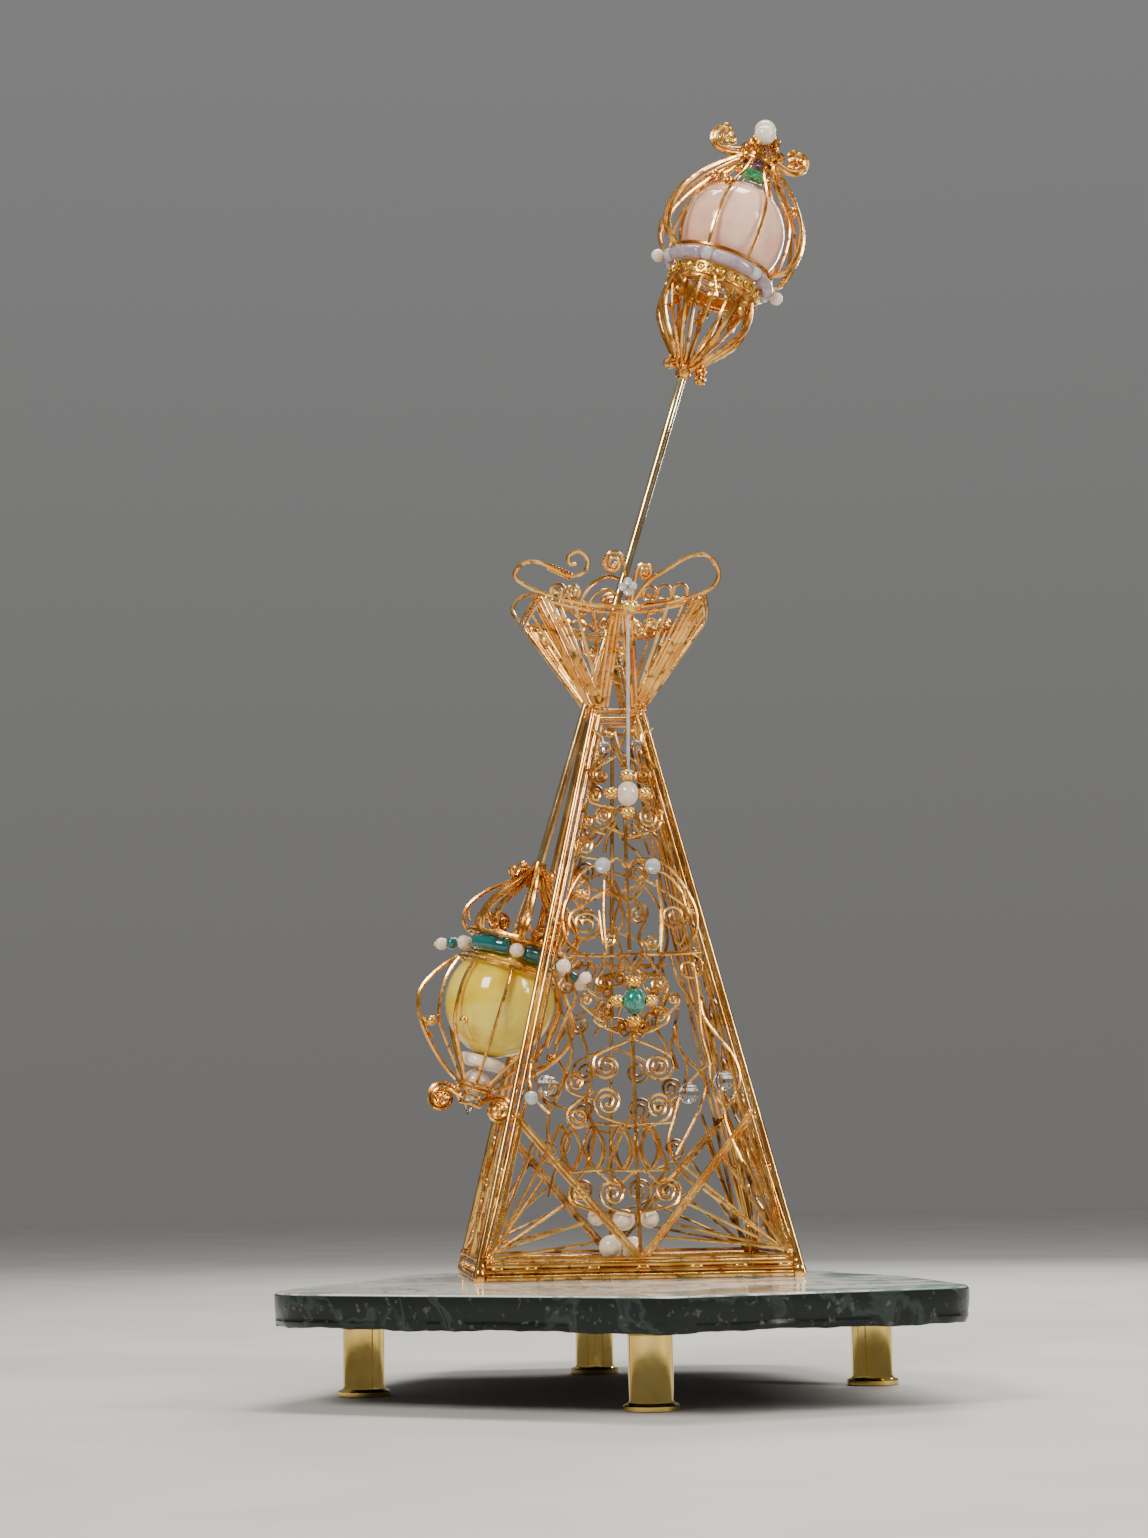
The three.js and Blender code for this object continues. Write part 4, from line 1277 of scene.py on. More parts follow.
@dataclass
class Crown:
    """The flared crown: fans of straight wires under a doubled rim, with loops and coils on it."""

    plan: TowerPlan
    half: float = 40.6
    rim_wire: float = 1.2

    def rim(self, face: Face, u: float, lift: float = 0.0, proud: float = 0.0) -> Vector:
        """A point on a face's rim, which sags in the middle and bows outward on the sides."""
        bow = 9 * (1 - (u / 41) ** 2) if face.name in ("left", "right") else 0.0
        return self.plan.at(face, u, 392.5 + 7.5 * (u / 44) ** 2 + lift, bow + proud)

    def build(self, side: str) -> bpy.types.Object:
        """The crown's part on one face."""
        face = FACES[side]
        panel = Panel(self.plan, face, 0.95)
        shares = [-1 + step / 8 for step in range(17)]
        for lift, proud, radius in ((0.0, 0.0, self.rim_wire), (-2.7, 0.3, self.rim_wire * 0.8)):
            panel.runs.append(Run([self.rim(face, share * self.half, lift, proud) for share in shares], radius))
        low = self.plan.waist + 1.9
        corner = self.plan.waist_half[0] - 2.0
        fans = ((corner, self.half - 0.4, 1.15), (corner - 1.1, self.half - 3.6, 0.95), (corner - 2.0, 33.0, 1.0),
                (corner - 2.8, 24.0, 0.95), (corner - 3.0, 2.2, 1.2), (corner - 0.6, 5.0, 1.05), (corner - 5.2, 0.4, 0.9))
        for hand in (-1, 1):
            for step, (start, end, radius) in enumerate(fans):
                if side == "left" and abs(end) < 10:
                    continue
                first = self.plan.at(face, hand * start, low, 0.3 * (step % 3))
                last = self.rim(face, hand * end, -1.6, 0.4 * (step % 2))
                points = [first, first.lerp(last, 0.35), first.lerp(last, 0.7), last]
                panel.runs.append(Run(points, radius, ends=0.85))
            panel.solder((hand * corner, low + 0.4), 2.2)
        if side in ("front", "back"):
            self._ornaments(panel, side)
        else:
            for hand in (-1, 1):
                panel.coil((hand * 21, 386), 5.0, (hand * 30, 394), hand, 1.7)
        return panel.build(f"tower_crown_{side}")

    def _ornaments(self, panel: Panel, side: str) -> None:
        """The long loops on the rim's ends and the coils along it."""
        half = self.half
        tip = 392.5 + 7.5 * (half / 44) ** 2
        panel.curve([(half, tip), (47.6, 402.6), (49.9, 408.4), (44.6, 416.4), (36, 417), (24, 411), (13.5, 404.4), (6, 395)],
                    1.15, ends=0.7)
        panel.curve([(-half, tip), (-49, 402), (-55.6, 407), (-52, 412.6), (-44, 413.4), (-35, 410), (-27, 406.8),
                     (-19.4, 409.4), (-18.4, 415), (-23, 418.6), (-28, 416.4), (-27.4, 412.8), (-24, 412.6)], 1.15, ends=0.7)
        panel.coil((-5.2, 413.2), 6.2, (3, 395), 1, 2.0, 1.05)
        panel.coil((11.4, 409), 4.8, (5, 395), -1, 1.8, 0.95)
        panel.coil((-33.6, 399.6), 4.4, (-26, 393), 1, 1.7, 0.85)
        panel.coil((-25, 399), 4.2, (-31, 393), -1, 1.6, 0.85)
        panel.curve([(-22, 393), (-17, 402), (-8, 407), (-2, 406)], 0.9)
        panel.curve([(-18, 392), (-14, 398), (-8, 400.6), (-2, 398)], 0.85)
        for u in (14.4, 22.0, 30.2):
            panel.ring((u, 397.6 + 0.08 * u), 3.6, 0.85)
        panel.coil((-31, 386), 3.6, (-34, 394), 1, 1.6, 0.8)
        panel.coil((9, 383), 4.0, (14, 391), -1, 1.6, 0.8)
        panel.coil((-9, 384), 4.0, (-14, 391), 1, 1.6, 0.8)
        for height, reach in ((378, 9.5), (370.6, 8.0), (363, 6.4)):
            panel.curve([(-reach, height), (0, height + 1.6), (reach, height)], 0.75, -1.6)
        if side == "front":
            for step in range(7):
                share = step / 6
                panel.ring((mix(-37.4, -27.6, share), mix(411, 407, share)), 1.5, 0.5, 0.0)


@dataclass
class TowerGems:
    """Beads, crystals and pearls set in the tower's front face."""

    plan: TowerPlan
    crystals: tuple = ("crystal_left", "crystal_right", "crystal_inner", "crystal_upper_left", "crystal_upper_right")

    def build(self, finishes: Finishes) -> None:
        """Models and keeps every bead of the tower."""
        face = FACES["front"]
        for node, core, radius, material, slot in (
                ("moonstone_cluster", "moonstone", 5.9, "moonstone", Slot.PEARL),
                ("malachite_cluster", "malachite_drop", 6.2, "malachite_drop", Slot.MALACHITE)):
            centre = middle(node)
            heart = beads(f"{core}_heart", [(centre, radius)], Cut.ROUND, (0.96, 0.94, 1.16))
            keep(heart, finishes[material], slot, node)
            spots = [(centre + Vector((x, -0.3, z)), 3.25) for x, z in ((0, 9.6), (-8.6, 0.3), (8.6, 0.3), (0, -9.8))]
            keep(self._granulated(f"{core}_gold_beads", spots), finishes["gilt_beads"], Slot.GILT)
        for node in self.crystals:
            radius = (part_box(node)[1].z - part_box(node)[0].z) / 2 / MM
            bead = beads(f"{node}_bead", [(middle(node), radius)], Cut.FACETED)
            keep(softened(bead, 0.25, 1), finishes["crystal"], Slot.CRYSTAL, node)
        low, high = (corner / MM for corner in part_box("front_needle"))
        needle = Run(bend([Vector((middle("front_needle").x, high.y - 0.9 - (high.y - low.y - 1.8) * share,
                                   mix(low.z, high.z, share))) for share in (0, 0.3, 0.7, 1)], 3), 0.9, ends=0.5)
        keep(wirework("tower_needle", [needle], 8), finishes["frosted_crystal"], Slot.CRYSTAL, "front_needle")
        keep(self._granulated("rim_gold_bead", [(middle("rim_bead"), 3.9)]), finishes["gilt_beads"], Slot.GILT, "rim_bead")
        pearls = (((-19.7, 82.2), 4.6), ((-6.4, 80.5), 5.6), ((6.5, 80.8), 4.8))
        row = [(self.plan.at(face, u, height, -7.6), radius) for (u, height), radius in pearls]
        keep(beads("tower_pearl_row", row), finishes["pearl"], Slot.PEARL, "pearl_row")
        top = self.plan.floor + 0.3 + self.plan.rail_height
        low_row = [(self.plan.at(face, -13.2, top + 6.4, -8.6), 6.0), (self.plan.at(face, -2.8, top + 5.8, -8.6), 5.6)]
        keep(beads("tower_rail_pearls", low_row), finishes["pearl"], Slot.PEARL, "rail_pearls")
        self._small_stones(finishes, face)

    def _granulated(self, name: str, spots: Sequence[tuple[Vector, float]]) -> bpy.types.Object:
        """Gold beads covered in grains."""
        balls = beads(name, spots, Cut.ROUND)
        grains = []
        for centre, radius in spots:
            for ring, count in ((-0.6, 6), (-0.1, 8), (0.45, 7)):
                for step in range(count):
                    angle = TURN * (step + ring) / count
                    flat = math.sqrt(1 - ring * ring) * radius * 0.92
                    grains.append((centre + Vector((flat * math.cos(angle), flat * math.sin(angle), ring * radius)), radius * 0.24))
        return joined(name, [balls, beads("grains", grains, Cut.GRAIN)])

    def _small_stones(self, finishes: Finishes, face: Face) -> None:
        """Small clear beads, pale beads and a crystal cluster at the rim."""
        at = self.plan.at
        clear = [(at(face, -11.5, 259, 5.4), 4.3), (at(face, 14.2, 258.4, 5.4), 4.3), (at(face, -51.4, 141, 4.2), 3.6)]
        keep(softened(beads("tower_clear_beads", clear, Cut.FACETED), 0.2, 1), finishes["frosted_crystal"], Slot.CRYSTAL)
        pale = [(at(face, -33.2, 207, 4.4), 3.8), (at(face, -22.3, 201, 4.0), 3.2)]
        keep(beads("tower_pale_beads", pale), finishes["pearl"], Slot.PEARL)
        gold = [(at(face, -22.8, 244, 3.4), 2.9)]
        keep(self._granulated("tower_gold_bead", gold), finishes["gilt_beads"], Slot.GILT)
        spots = [(at(face, 2 + x, 400.6 + z, 7.4), 2.4) for x, z in ((0, 2.4), (-2.6, 0), (2.6, 0.4), (0.4, -2.4))]
        keep(beads("crown_crystal_cluster", spots, Cut.FACETED), finishes["frosted_crystal"], Slot.CRYSTAL)


# ---------------------------------------------------------------- the sceptre
@dataclass
class SceptrePlan:
    """Where the sceptre's rod, pommel and head stand."""

    foot: Vector
    tilt: float = 17.0
    head_lean: float = 3.0
    collar: float = 353.0
    head_orb: float = 81.6
    orb: float = 29.0
    rod: float = 2.3

    @classmethod
    def from_frame(cls) -> "SceptrePlan":
        """The plan with its foot at the middle of the pommel's orb."""
        return cls(foot=middle("pommel_orb"))

    def shaft(self) -> Matrix:
        """The seat of the rod and the pommel: its origin is the pommel orb's middle."""
        return Matrix.Translation(self.foot) @ Matrix.Rotation(math.radians(self.tilt), 4, "Y")

    def head(self) -> Matrix:
        """The seat of the head: its origin is the collar."""
        lean = Matrix.Rotation(math.radians(self.head_lean), 4, "Y")
        return self.shaft() @ Matrix.Translation((0, 0, self.collar)) @ lean


@dataclass
class Ornament:
    """Wires and grains drawn round the sceptre's axis."""

    seat: Matrix
    runs: list[Run] = field(default_factory=list)
    grains: list[tuple[Vector, float]] = field(default_factory=list)

    def at(self, x: float, y: float, z: float) -> Vector:
        """A point in the model from a point beside the axis."""
        return self.seat @ Vector((x, y, z))

    def round_at(self, radius: float, height: float, bearing: float) -> Vector:
        """A point in the model from a radius, a height and a bearing."""
        return self.at(radius * math.cos(bearing), radius * math.sin(bearing), height)

    def hoop(self, radius: float, height: float, wire: float, wave: float = 0.0, count: int = 40) -> None:
        """A ring round the axis, in waves where asked."""
        points = [self.round_at(radius, height + wave * math.cos(TURN * step * 12 / count), TURN * step / count)
                  for step in range(count)]
        self.runs.append(Run(points, wire, closed=True))

    def rib(self, profile: Sequence[Flat], bearing: float, wire: float, spread: float = 0.0) -> None:
        """A rib of one wire, or of two that part in the middle and meet at the ends.

        Args:
            profile: (radius, height) pairs.
            bearing: Where it stands round the axis.
            wire: Its radius.
            spread: How far apart its two wires are at the widest, or 0 for one wire.
        """
        last = len(profile) - 1
        for side in ((-1, 1) if spread else (0,)):
            places = []
            for step, (radius, height) in enumerate(profile):
                apart = side * spread / 2 * math.sin(math.pi * min(1.0, (step + 0.25) / (last + 0.5)))
                turn = bearing + apart / max(radius, 6.0)
                places.append(self.round_at(radius, height, turn))
            self.runs.append(Run(bend(places, 5), wire, ends=0.9))

    def standing_scroll(self, centre: Flat, radius: float, anchor: Flat, hand: int, turns: float = 1.8,
                        wire: float = 1.1, bearing: float = 0.0, depth: float = 0.0) -> None:
        """A scroll in a plane through the axis, turned to a bearing and moved sideways by a depth."""
        path = scroll(centre, radius, anchor, hand, turns, 0.18)
        along = (math.cos(bearing), math.sin(bearing))
        places = [self.at(x * along[0] - depth * along[1], x * along[1] + depth * along[0], z) for x, z in path]
        self.runs.append(Run(bend(places, 3), wire, ends=0.8))
        self.grains.append((places[-1], wire * 1.3))

    def knot(self, centre: Colour, radius: float, wire: float, phase: float = 0.0) -> None:
        """A small tangle of three loops about a centre."""
        for turn in range(3):
            tilt = Matrix.Rotation(phase + turn * 1.05, 3, "X") @ Matrix.Rotation(turn * 1.3 + phase, 3, "Z")
            places = []
            for step in range(10):
                angle = TURN * step / 10
                ring = Vector((radius * math.cos(angle), 0.2 * radius * math.sin(2 * angle), radius * 0.85 * math.sin(angle)))
                places.append(self.seat @ (Vector(centre) + tilt @ ring))
            self.runs.append(Run(bend(places, 2, closed=True), wire, closed=True))

    def build(self, name: str, sides: int = 6) -> bpy.types.Object:
        """All wires and grains as one mesh."""
        wires = wirework(name, self.runs, sides)
        if not self.grains:
            return wires
        return joined(name, [wires, beads(name + "_solder", self.grains, Cut.GRAIN)])


def tube_beads(name: str, seat: Matrix, radius: float, height: float, thickness: float, breaks: Sequence[float],
               gap: float) -> bpy.types.Object:
    """Curved tube beads threaded on a ring, with rounded ends and a gap at each break.

    Args:
        name: The piece's name.
        seat: The seat that the ring stands on.
        radius: The ring's radius.
        height: Its height.
        thickness: A tube's radius.
        breaks: The bearings of the gaps, in order.
        gap: Half the length of a gap.

    Returns:
        One mesh object.
    """
    shape = Ornament(seat)
    swell = ((0.0, 0.55), (0.02, 0.8), (0.05, 0.95), (0.1, 1.0))
    for start, end in zip(breaks, [*breaks[1:], breaks[0] + TURN]):
        first, last = start + gap / radius, end - gap / radius
        count = max(10, round(14 * (last - first)))
        shares = [share for share, _ in swell] + [mix(0.16, 0.84, step / count) for step in range(count + 1)]
        shares += [1 - share for share, _ in reversed(swell)]
        sizes = [size for _, size in swell] + [1.0] * (count + 1) + [size for _, size in reversed(swell)]
        shape.runs.append(TubeRun([shape.round_at(radius, height, mix(first, last, share)) for share in shares],
                                  thickness, sizes=sizes))
    return wirework(name, shape.runs, 16)


@dataclass
class TubeRun(Run):
    """A run whose thickness is given at each point."""

    sizes: list[float] = field(default_factory=list)

    def radii(self) -> list[float]:
        """The radius at each point."""
        return [self.radius * size for size in self.sizes]


@dataclass
class Rod:
    """The drawn rod from the pommel's shoulder to the head's collar."""

    plan: SceptrePlan
    low: float = 38.0

    def build(self) -> bpy.types.Object:
        """The rod with a slight swell at its ends."""
        high = self.plan.collar + 3
        radius = self.plan.rod
        profile = [(0, self.low), (radius - 0.3, self.low), (radius, self.low + 0.6), (radius, self.low + 60),
                   (radius - 0.05, 200), (radius, high - 40), (radius, high - 0.6), (radius - 0.3, high), (0, high)]
        return turned("sceptre_shaft", profile, 20, self.plan.shaft())


@dataclass
class Pommel:
    """The yellow orb in its cage, under a ring of green tube beads and a shoulder of scrolled ribs."""

    plan: SceptrePlan
    shoulder: tuple = ((3.9, 72), (11, 63.4), (24, 52), (30.5, 41), (29.4, 34), (26.5, 31.4))
    inner_rib: tuple = ((4.6, 68), (9.4, 60), (17.6, 51), (20.4, 43), (15.4, 36.5))
    cage: tuple = ((27.2, 17), (34, 9), (41, -5), (39, -16), (30, -28.5), (18, -39.5), (9.6, -45))
    close_rib: tuple = ((26.8, 17), (30.6, 6), (30.9, -6), (28.6, -17), (21.4, -27.5), (13.5, -37), (8.6, -44))
    pearl_angles: tuple = (-math.pi / 2, 0.0, math.pi / 2, math.pi)
    strand: tuple = ((26.4, 24.4, 3.9), (32.4, 22.2, 3.4), (37.4, 20.4, 3.3))

    def build(self, finishes: Finishes) -> None:
        """Models and keeps every piece of the pommel."""
        seat = self.plan.shaft()
        orb = beads("pommel_orb_stone", [(Vector(self.plan.foot), self.plan.orb)], Cut.ROUND, (1, 1, 1 / 0.96), seat)
        keep(self._refined(orb), finishes["calcite"], Slot.CALCITE, "pommel_orb")
        keep(self._shoulder(seat), finishes["gilt"], Slot.GILT, "pommel_shoulder")
        breaks = sorted(angle % TURN for angle in self.pearl_angles)
        ring = tube_beads("pommel_tube_beads", seat, 20.6, 26.6, 4.3, breaks, 3.6)
        reach, height, radius = self.strand[1]
        dark = [(seat @ Vector((side * reach, 0, height)), radius) for side in (-1, 1)]
        keep(joined("pommel_tube_beads", [ring, beads("ends", dark)]), finishes["malachite"], Slot.MALACHITE,
             "pommel_bead_ring")
        self._pearls(seat, finishes)
        keep(self._cage(seat), finishes["gilt"], Slot.GILT, "pommel_cage")
        self._foot(seat, finishes)

    def _refined(self, orb: bpy.types.Object) -> bpy.types.Object:
        """The orb with a finer surface."""
        pick(orb)
        bpy.ops.object.modifier_add(type="SUBSURF")
        orb.modifiers[-1].levels = orb.modifiers[-1].render_levels = 1
        bpy.ops.object.modifier_apply(modifier=orb.modifiers[-1].name)
        bpy.ops.object.shade_smooth()
        return orb

    def _shoulder(self, seat: Matrix) -> bpy.types.Object:
        """Outer ribs, inner ribs with scrolled ends, the sleeve and the pierced disc."""
        shape = Ornament(seat)
        for step in range(8):
            bearing = TURN * step / 8
            shape.rib(self.shoulder, bearing, 1.0, 2.6)
            shape.rib(self.inner_rib, bearing, 0.95, 1.8)
            shape.standing_scroll((13.6, 38.6), 4.2, (20.2, 43), 1, 1.5, 0.9, bearing)
            shape.runs.append(Run([shape.round_at(27.5, 35.4, bearing + 0.2), shape.round_at(29.6, 42.6, bearing)], 0.8))
        shape.hoop(26.5, 31.5, 1.1)
        shape.hoop(24.0, 32.6, 0.9, 0.5)
        for radius in (20.6, 15.4, 10.2, 5.6):
            shape.hoop(radius, 33.0, 0.8, 0.25)
        for step in range(16):
            bearing = TURN * step / 16
            shape.runs.append(Run([shape.round_at(3.6, 33.2, bearing), shape.round_at(26, 32.0, bearing)], 0.7))
        for x, z, phase in ((-8.6, 70.5, 0.2), (8.0, 69.6, 1.4), (-12.0, 66.8, 2.2)):
            shape.knot((x, -3.0, z), 2.6, 0.75, phase)
        wires = shape.build("pommel_shoulder_ribs")
        sleeve = turned("sleeve", [(2.55, 61), (3.5, 61), (4.3, 64), (3.6, 67), (4.3, 70), (3.5, 75.4), (2.55, 75.4),
                                   (2.55, 61)], 20, seat)
        return joined("pommel_shoulder_ribs", [wires, sleeve])

    def _pearls(self, seat: Matrix, finishes: Finishes) -> None:
        """Pearls between the tube beads and at the strand's ends."""
        spots = [(seat @ Vector((0, side * 23.4, 26.0)), 3.9) for side in (-1, 1)]
        for reach, height, radius in (self.strand[0], self.strand[2]):
            spots += [(seat @ Vector((side * reach, 0, height)), radius) for side in (-1, 1)]
        keep(beads("pommel_pearls", spots), finishes["pearl"], Slot.PEARL)
        gold = [(seat @ Vector((20.8 * math.cos(angle), 20.8 * math.sin(angle), 31.4)), 1.5) for angle in self.pearl_angles]
        gold += [(seat @ Vector((side * 40.4, 0, 19.4)), 1.2) for side in (-1, 1)]
        gold += [(seat @ Vector((-16.0, -26.0, -15.8)), 2.4), (seat @ Vector((-31.4, -8, -19.6)), 2.8)]
        keep(beads("pommel_gold_grains", gold), finishes["gilt_beads"], Slot.GILT)

    def _cage(self, seat: Matrix) -> bpy.types.Object:
        """The cage's ribs: wide bowed pairs, and close ones that follow the orb."""
        shape = Ornament(seat)
        for step in range(8):
            bearing = TURN * step / 8
            if step in (5, 6, 7, 1, 3):
                shape.rib(self.close_rib, bearing, 0.95)
            else:
                shape.rib(self.cage, bearing, 1.05, 3.4)
            if step % 2 == 0 and step != 6:
                shape.rib(self.close_rib, bearing + 0.2, 0.85)
                shape.standing_scroll((33.4, -20.6), 3.0, (28, -27), 1, 1.4, 0.85, bearing)
        shape.hoop(27, 17, 1.1)
        shape.hoop(25.6, 19.4, 0.8, 0.3)
        shape.hoop(9.9, -45, 1.1)
        shape.hoop(9.0, -47.2, 0.9)
        return shape.build("pommel_cage_ribs")

    def _foot(self, seat: Matrix, finishes: Finishes) -> None:
        """The ivory washer, the end bead, the crystal tip and the scrolls."""
        washer = [(0, -35.4), (10.0, -35.4), (11.6, -34.8), (12.6, -33.2), (12.6, -31.8), (11.6, -30.0), (10.0, -29.4),
                  (0, -29.4)]
        keep(turned("pommel_ivory_washer", washer, 40, seat), finishes["ivory"], Slot.PEARL, "pommel_washer")
        end = beads("pommel_end_stone", [(seat @ Vector((0, 0, -43)), 7.2)], Cut.ROUND, (1, 1, 1), seat)
        keep(end, finishes["moonstone"], Slot.PEARL, "pommel_end_bead")
        tip = turned("pommel_tip_crystal", [(0, -60.5), (2.0, -57.4), (3.2, -55), (3.0, -52.4), (2.2, -50.6), (0, -50.6)],
                     8, seat)
        pick(tip)
        bpy.ops.object.shade_flat()
        keep(tip, finishes["crystal"], Slot.CRYSTAL, "pommel_tip")
        shape = Ornament(seat)
        shape.hoop(5.2, -54.6, 1.0, count=20)
        shape.hoop(6.4, -51.4, 0.9, 0.4, count=24)
        for side, centre, radius in ((-1, (-15, -55.4), 8.0), (1, (15, -53.6), 7.4)):
            shape.standing_scroll(centre, radius, (side * 4.6, -55), -side, 2.3, 1.15)
            shape.standing_scroll((centre[0], centre[1] - 0.6), radius - 1.9, (side * 4.2, -52.4), -side, 1.2, 0.95, depth=-2.2)
            for turn in range(3):
                angle = TURN * turn / 3 + 0.5
                spot = (centre[0] + 2.6 * math.cos(angle), centre[1] + 2.6 * math.sin(angle))
                shape.standing_scroll(spot, 2.2, (centre[0], centre[1]), side, 1.1, 0.7, depth=-1.6)
        for step in range(6):
            bearing = TURN * step / 6
            shape.runs.append(Run([shape.round_at(6.2, -51, bearing), shape.round_at(8.8, -46.6, bearing)], 0.85))
        keep(shape.build("pommel_foot_scrolls"), finishes["gilt"], Slot.GILT, "pommel_scrolls")


@dataclass
class Head:
    """The rose orb in its cage on a cup of ribs, with scrolls and two finial beads above."""

    plan: SceptrePlan
    cup: tuple = ((3.6, 1), (10, 8), (20.4, 20.5), (25, 29), (25.6, 38), (23.8, 46.4))
    inner_cup: tuple = ((3.4, 3), (7.6, 12), (13.6, 24), (18, 34), (21.6, 45.4))
    cage: tuple = ((28.5, 62.8), (36.4, 67), (40, 76), (38.4, 90), (30, 105), (17, 119), (8, 127))
    close_rib: tuple = ((28.6, 62.8), (31.0, 70), (31.4, 82), (29.2, 93), (22.8, 104), (13.4, 115), (7.6, 126))
    first_break: float = -1.94

    def build(self, finishes: Finishes) -> None:
        """Models and keeps every piece of the head."""
        seat = self.plan.head()
        centre = seat @ Vector((0, 0, self.plan.head_orb))
        orb = beads("head_orb_stone", [(centre, self.plan.orb)], Cut.ROUND, (1, 1, 1 / 0.96), seat)
        keep(Pommel(self.plan)._refined(orb), finishes["rose_quartz"], Slot.ROSE, "head_orb")
        keep(self._cup(seat), finishes["gilt"], Slot.GILT, "head_cup")
        keep(self._band(seat), finishes["gilt_beads"], Slot.GILT, "head_band")
        breaks = sorted((self.first_break + TURN * step / 6) % TURN for step in range(6))
        ring = tube_beads("head_tube_beads", seat, 27.9, 57.5, 3.3, breaks, 3.2)
        keep(ring, finishes["amethyst"], Slot.AMETHYST, "head_bead_ring")
        clear = [(seat @ Vector((28.4 * math.cos(angle), 28.4 * math.sin(angle), 57.6)), 3.7) for angle in breaks]
        keep(softened(beads("head_clear_beads", clear, Cut.FACETED), 0.2, 1), finishes["frosted_crystal"], Slot.CRYSTAL)
        ends = [(seat @ Vector((side * 34.0, 0, 56.3)), 3.6) for side in (-1, 1)]
        keep(beads("head_end_pearls", ends), finishes["pearl"], Slot.PEARL)
        keep(self._cage(seat), finishes["gilt"], Slot.GILT, "head_cage")
        self._crest(seat, finishes)

    def _cup(self, seat: Matrix) -> bpy.types.Object:
        """Outer pairs and inner ribs, with coils under the band and knots at the collar."""
        shape = Ornament(seat)
        for step in range(8):
            bearing = TURN * (step + 0.5) / 8
            shape.rib(self.cup, bearing, 1.05, 4.6)
            shape.rib(self.inner_cup, bearing + TURN / 16, 0.9)
            for height, radius, hand in ((42.6, 3.2, 1), (37.4, 2.5, -1)):
                tangent = bearing + TURN / 16
                path = scroll((0, height), radius, (radius * 0.9 * hand, 47.5), hand, 1.6)
                places = [shape.round_at(24.6, z, tangent + u / 24.6) for u, z in path]
                shape.runs.append(Run(bend(places, 3), 0.85))
        shape.hoop(23.8, 46.4, 1.1)
        shape.hoop(21.4, 45.2, 0.8)
        for x, z, phase in ((-8.6, 1.4, 0.4), (9.6, -2.0, 1.2), (8.4, 2.8, 2.4), (-6.8, 4.6, 2.9)):
            shape.knot((x, -1.5, z), 2.9, 0.85, phase)
        shape.knot((0, -4.6, 0.6), 3.0, 0.85, 0.9)
        wires = shape.build("head_cup_ribs")
        sleeve = turned("sleeve", [(2.55, -4), (3.4, -4), (4.5, -1.6), (3.6, 0.6), (4.5, 2.6), (3.6, 4.6), (2.55, 4.6),
                                   (2.55, -4)], 20, seat)
        return joined("head_cup_ribs", [wires, sleeve])

    def _band(self, seat: Matrix) -> bpy.types.Object:
        """The pierced and scalloped gold band, with the seat under the orb."""
        collar = turned("band", [(23.3, 48.6), (24.6, 48.6), (24.9, 49.4), (24.5, 51.2), (24.9, 53.0), (24.6, 53.8),
                                 (23.3, 53.8), (23.3, 48.6)], 56, seat)
        shape = Ornament(seat)
        for height in (48.5, 53.9):
            shape.hoop(24.4, height, 0.75)
        for step in range(28):
            bearing = TURN * step / 28
            path = [(1.9 * math.cos(TURN * k / 6), 51.2 + 1.9 * math.sin(TURN * k / 6)) for k in range(6)]
            places = [shape.round_at(25.3, z, bearing + u / 25.3) for u, z in path]
            shape.runs.append(Run(places, 0.5, closed=True))
            shape.grains.append((shape.round_at(25.5, 51.2, bearing), 0.8))
            shape.grains.append((shape.round_at(25.2, 48.4, bearing + TURN / 56), 0.8))
        for step in range(8):
            bearing = TURN * step / 8
            shape.runs.append(Run([shape.round_at(23.6, 50.4, bearing), shape.round_at(10, 52.2, bearing)], 0.85))
        shape.hoop(10, 52.4, 0.85)
        shape.hoop(17, 51.5, 0.7)
        return joined("head_band_pierced", [collar, shape.build("band_wires")])

    def _cage(self, seat: Matrix) -> bpy.types.Object:
        """The cage's ribs, wide pairs at the sides and close single ones before and behind the orb."""
        shape = Ornament(seat)
        for step in range(8):
            bearing = TURN * (step + 0.5) / 8
            if abs(math.sin(bearing)) > 0.8:
                shape.rib(self.close_rib, bearing, 0.95)
            else:
                shape.rib(self.cage, bearing, 1.05, 6.0)
                shape.rib(self.close_rib, bearing + 0.1, 0.9)
        shape.hoop(28.4, 62.8, 1.1)
        shape.hoop(8, 127, 1.2)
        shape.hoop(9.2, 124.6, 0.9, 0.4)
        for bearing, height, radius in ((-2.2, 103, 25.5), (-2.0, 100.5, 27.2), (-2.5, 105, 24.6), (-0.5, 100, 30.5)):
            place = self.seat_point(radius, height, bearing)
            shape.knot(place, 2.4, 0.7, height)
        return shape.build("head_cage_ribs")

    @staticmethod
    def seat_point(radius: float, height: float, bearing: float) -> Colour:
        """A point beside the axis from a radius, a height and a bearing."""
        return radius * math.cos(bearing), radius * math.sin(bearing), height

